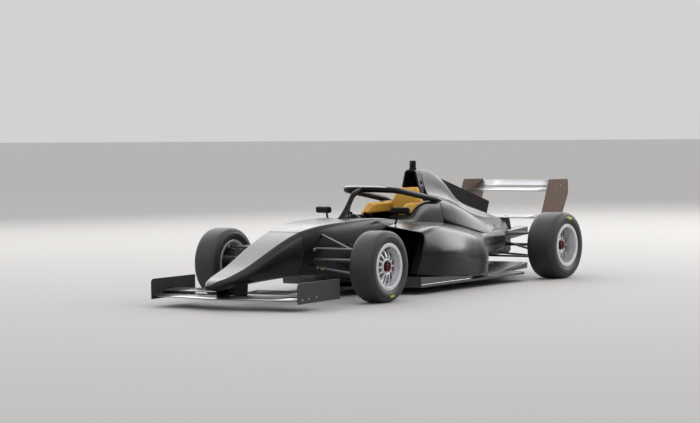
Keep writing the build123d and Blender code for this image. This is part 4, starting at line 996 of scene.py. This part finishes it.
solids = [block((0.150, 0.026, 0.120), on_wheel(0, -0.015, 0), 0.012, 4, tilt),
          block((0.070, 0.004, 0.036), on_wheel(0, -0.001, 0.022), 0.0015, 2, tilt)]
joined("wheel_box", solids, satin_black, "steering_wheel_body", "steering_wheel")
for side, sign in SIDES:
    grip_path = filleted([(sign * 60, 823, 632), (sign * 122, 824, 626), (sign * 122, 846, 512),
                          (sign * 60, 847, 508)], [34, 34], 0.008)
    swept(f"wheel_grip_{side}", grip_path, (0.013, 0.015), 20, recess_black, "steering_wheel_body",
          (0, 1, 0))
for k, (tone_name, colour) in enumerate(SWITCHES):
    knob = speckled(f"switch_{tone_name}", colour, 0.35, "light_red")
    heads = [stud(on_wheel(sign * (0.052 + 0.004 * (k % 2)), 0.0005, 0.036 - 0.024 * k), -column_way, 0.0065, 0.008)
             for side, sign in SIDES]
    joined(f"wheel_switches_{tone_name}", heads, knob, "steering_wheel_body")
column_path = [wheel_place + column_way * reach for reach in (0.024, 0.06, 0.12, 0.18, 0.26)]
swept("steering_column", column_path, (0.011, 0.011), 20, steel_dark, "steering_wheel_body")
dash_plate = softened("dash_panel", "dash_bulkhead", satin_black, 0.003)
for vert in dash_plate.data.vertices:
    vert.co.x *= 0.96
    vert.co.z = min(vert.co.z, 0.572 + (vert.co.z - 0.572) * 0.3)
dash = bmesh.new()
bmesh.ops.create_cube(dash, size=1)
bmesh.ops.scale(dash, verts=dash.verts, vec=(0.150, 0.050, 0.030))
for vert in dash.verts:
    if vert.co.z > 0:
        vert.co.x *= 0.35
        vert.co.y = vert.co.y * 0.4 - 0.004
bmesh.ops.translate(rounded(dash, 0.005, 3), verts=dash.verts, vec=spot(0, 748, 618))
joined("dash_hood", [dash], satin_black)

# The driver sits in a thin carbon shell with a six point harness: two shoulder straps, two lap straps and two
# more between the legs, which meet at a turning buckle. The webbing is flat and lies on the shell.
STRAP_STEPS = 8
# Name, width, then half width, station and height along the left one
STRAPS = [
    ("shoulder", 50, [(70, 1575, 570), (68, 1520, 452), (60, 1455, 330), (45, 1380, 225), (18, 1310, 172)]),
    ("lap", 48, [(172, 1420, 150), (120, 1380, 150), (60, 1340, 154), (18, 1310, 160)]),
    ("crotch", 38, [(30, 1180, 136), (24, 1230, 140), (14, 1280, 150)]),
]
seat_black = speckled("seat_black", (0.02, 0.02, 0.02), 0.8)
softened("seat", "seat_shell", seat_black, 0.008)
webbing = speckled("webbing_black", (0.014, 0.014, 0.016), 0.8, "seat_black", grain=1400.0, bump=0.6, gloss=0.2)


def flowing(path):
    """A smooth line through the points of a path."""
    padded = [path[0], *path, path[-1]]
    line = []
    for before, low, high, after in zip(padded, padded[1:], padded[2:], padded[3:]):
        for t in [step / STRAP_STEPS for step in range(STRAP_STEPS)]:
            bend = (2 * before - 5 * low + 4 * high - after) * t**2
            line.append(0.5 * (2 * low + (high - before) * t + bend + (3 * low - before - 3 * high + after) * t**3))
    return line + [path[-1]]


for side, sign in SIDES:
    for name, width, places in STRAPS:
        path = flowing([spot(sign * x, station, height) for x, station, height in places])
        swept(f"{name}_strap_{side}", path, (width / 2000, 0.0013), 12, webbing)
buckle = [stud(spot(0, 1308, height), (0, 0.2, 1), radius, tall, sides)
          for height, radius, tall, sides in ((170, 0.030, 0.022, 32), (182, 0.016, 0.010, 24))]
joined("harness_buckle", buckle, steel_bright)

# A thin fairing is bonded along the front of the halo's ring, with a smooth upper skin that sheds air over the
# driver. The survival cell is closed behind the seat by a flat carbon bulkhead.
BULKHEAD_MIDDLE = Vector((0, 390))


def fairing_size(share):
    return 0.012 * math.sin(math.pi * min(0.96, max(0.04, share))) ** 0.4, 0.027


front_part = [point + Vector((0, 0, 0.017)) for point in ring_path
              if point.y < spot(0, 1010, 0).y and point.x < 0.19]
swept("halo_fairing", front_part, fairing_size, 20, wing_skin, side_way=(0, 0, 1))
rim_points = [BULKHEAD_MIDDLE + (point - BULKHEAD_MIDDLE) * 0.975 for point in body_outline(1676)[:-1]]
bulkhead = prism([spot(point.x, 1680, point.y) for point in rim_points], (0, 0.006, 0))
joined("rear_bulkhead", [bulkhead], satin_black, slot="body_black")

# Quick-release studs hold the cover and the pods. The cover's front part lifts at a joint line, and louvres
# with bare slats let hot air out of the tail on each side.
COVER_STUDS = [(1868, 640), (1868, 590), (1868, 535)]
POD_STUDS = [(1320, 209), (1503, 205), (1296, 142), (1100, 120), (1700, 150)]
studs = [stud(*on_flank(host, sign, *place), 0.0050, 0.0020)
         for places, hosts in ((COVER_STUDS, {1: cover, -1: cover}), (POD_STUDS, pods))
         for sign, host in hosts.items() for place in places]
joined("panel_studs", studs, rod_grey)
for side, sign in SIDES:
    line = [on_flank(cover, sign, 1850, height)[0] for height in range(520, 720, 14)]
    swept(f"cover_joint_{side}", line, (0.0013, 0.0008), 8, recess_black, side_way=(0, 1, 0), slot="body_black")
louvre_tan = speckled("louvre_tan", (0.42, 0.27, 0.17), 0.6, "body_black")
for side, sign in SIDES:
    frames, slats = [], []
    for station in (2600, 2634, 2668):
        point, normal = on_flank(cover, sign, station, 438)
        turn = normal.to_track_quat("X", "Z").to_matrix()
        frames.append(block((0.005, 0.030, 0.044), point, 0.002, 3, turn))
        slats.append(block((0.004, 0.020, 0.034), point + normal * 0.0015, 0.0012, 2, turn))
    joined(f"louvre_frames_{side}", frames, satin_black, slot="body_black")
    joined(f"louvre_slats_{side}", slats, louvre_tan)

# Each pod holds a finned aluminium radiator behind its inlet. The gearbox and engine are castings with ribs,
# and the tail carries a crash box with a red rain light of small lamps.
FINS = 11
core = speckled("radiator_core", (0.05, 0.05, 0.052), 0.5, "casting", grain=250.0, spread=0.3, bump=0.8, metal=0.6)
lean = Matrix.Rotation(math.radians(-24), 3, "X")
for side, sign in SIDES:
    place = spot(sign * 448, 1190, 280)
    solids = [block((0.270, 0.040, 0.340), place, 0.004, 2, lean)]
    solids += [block((0.262, 0.006, 0.004), place + lean @ Vector((0, -0.021, -0.150 + 0.030 * k)), 0.0012, 2, lean)
               for k in range(FINS)]
    joined(f"radiator_{side}", solids, core)
softened("engine", "engine_block", casting, 0.012)
softened("gearbox", "gearbox_casting", casting, 0.010)
softened("crash_structure", "rear_crash_box", floor_carbon, 0.004)
ribs = [block((0.206, 0.010, 0.150), spot(0, station, 282), 0.003, 2) for station in range(2360, 3060, 90)]
joined("gearbox_ribs", ribs, casting)
light_red = speckled("light_red", (0.4, 0.015, 0.015), 0.2, coat=0.6)
softened("rain_light", "rain_light_body", light_red, 0.004)
lamps = [stud(spot(-35 + 14 * column, 3488, 340 + 11 * row), (0, 1, 0), 0.0042, 0.003, 12)
         for row in range(5) for column in range(6)]
lamp_red = speckled("lamp_red", (0.65, 0.03, 0.03), 0.15, "light_red", coat=0.8)
joined("rain_light_lamps", lamps, lamp_red)
tie_green = speckled("tie_green", (0.33, 0.42, 0.04), 0.5, "steel_dark")
for side, sign in SIDES:
    tie = [spot(sign * x, station, height) for x, station, height in
           ((150, 2596, 246), (172, 2612, 240), (196, 2634, 238), (222, 2650, 242))]
    swept(f"cable_tie_{side}", tie, (0.005, 0.003), 10, tie_green, side_way=(0, 0, 1))
for side, sign in SIDES:
    softened(f"driveshaft_{side}", f"shaft_{side}", steel_dark, 0.001, 0.2)
softened("rack_housing", "rack_casting", casting, 0.003)
softened("steering_rack", "rack_bar", rod_grey, 0.001, 0.2)
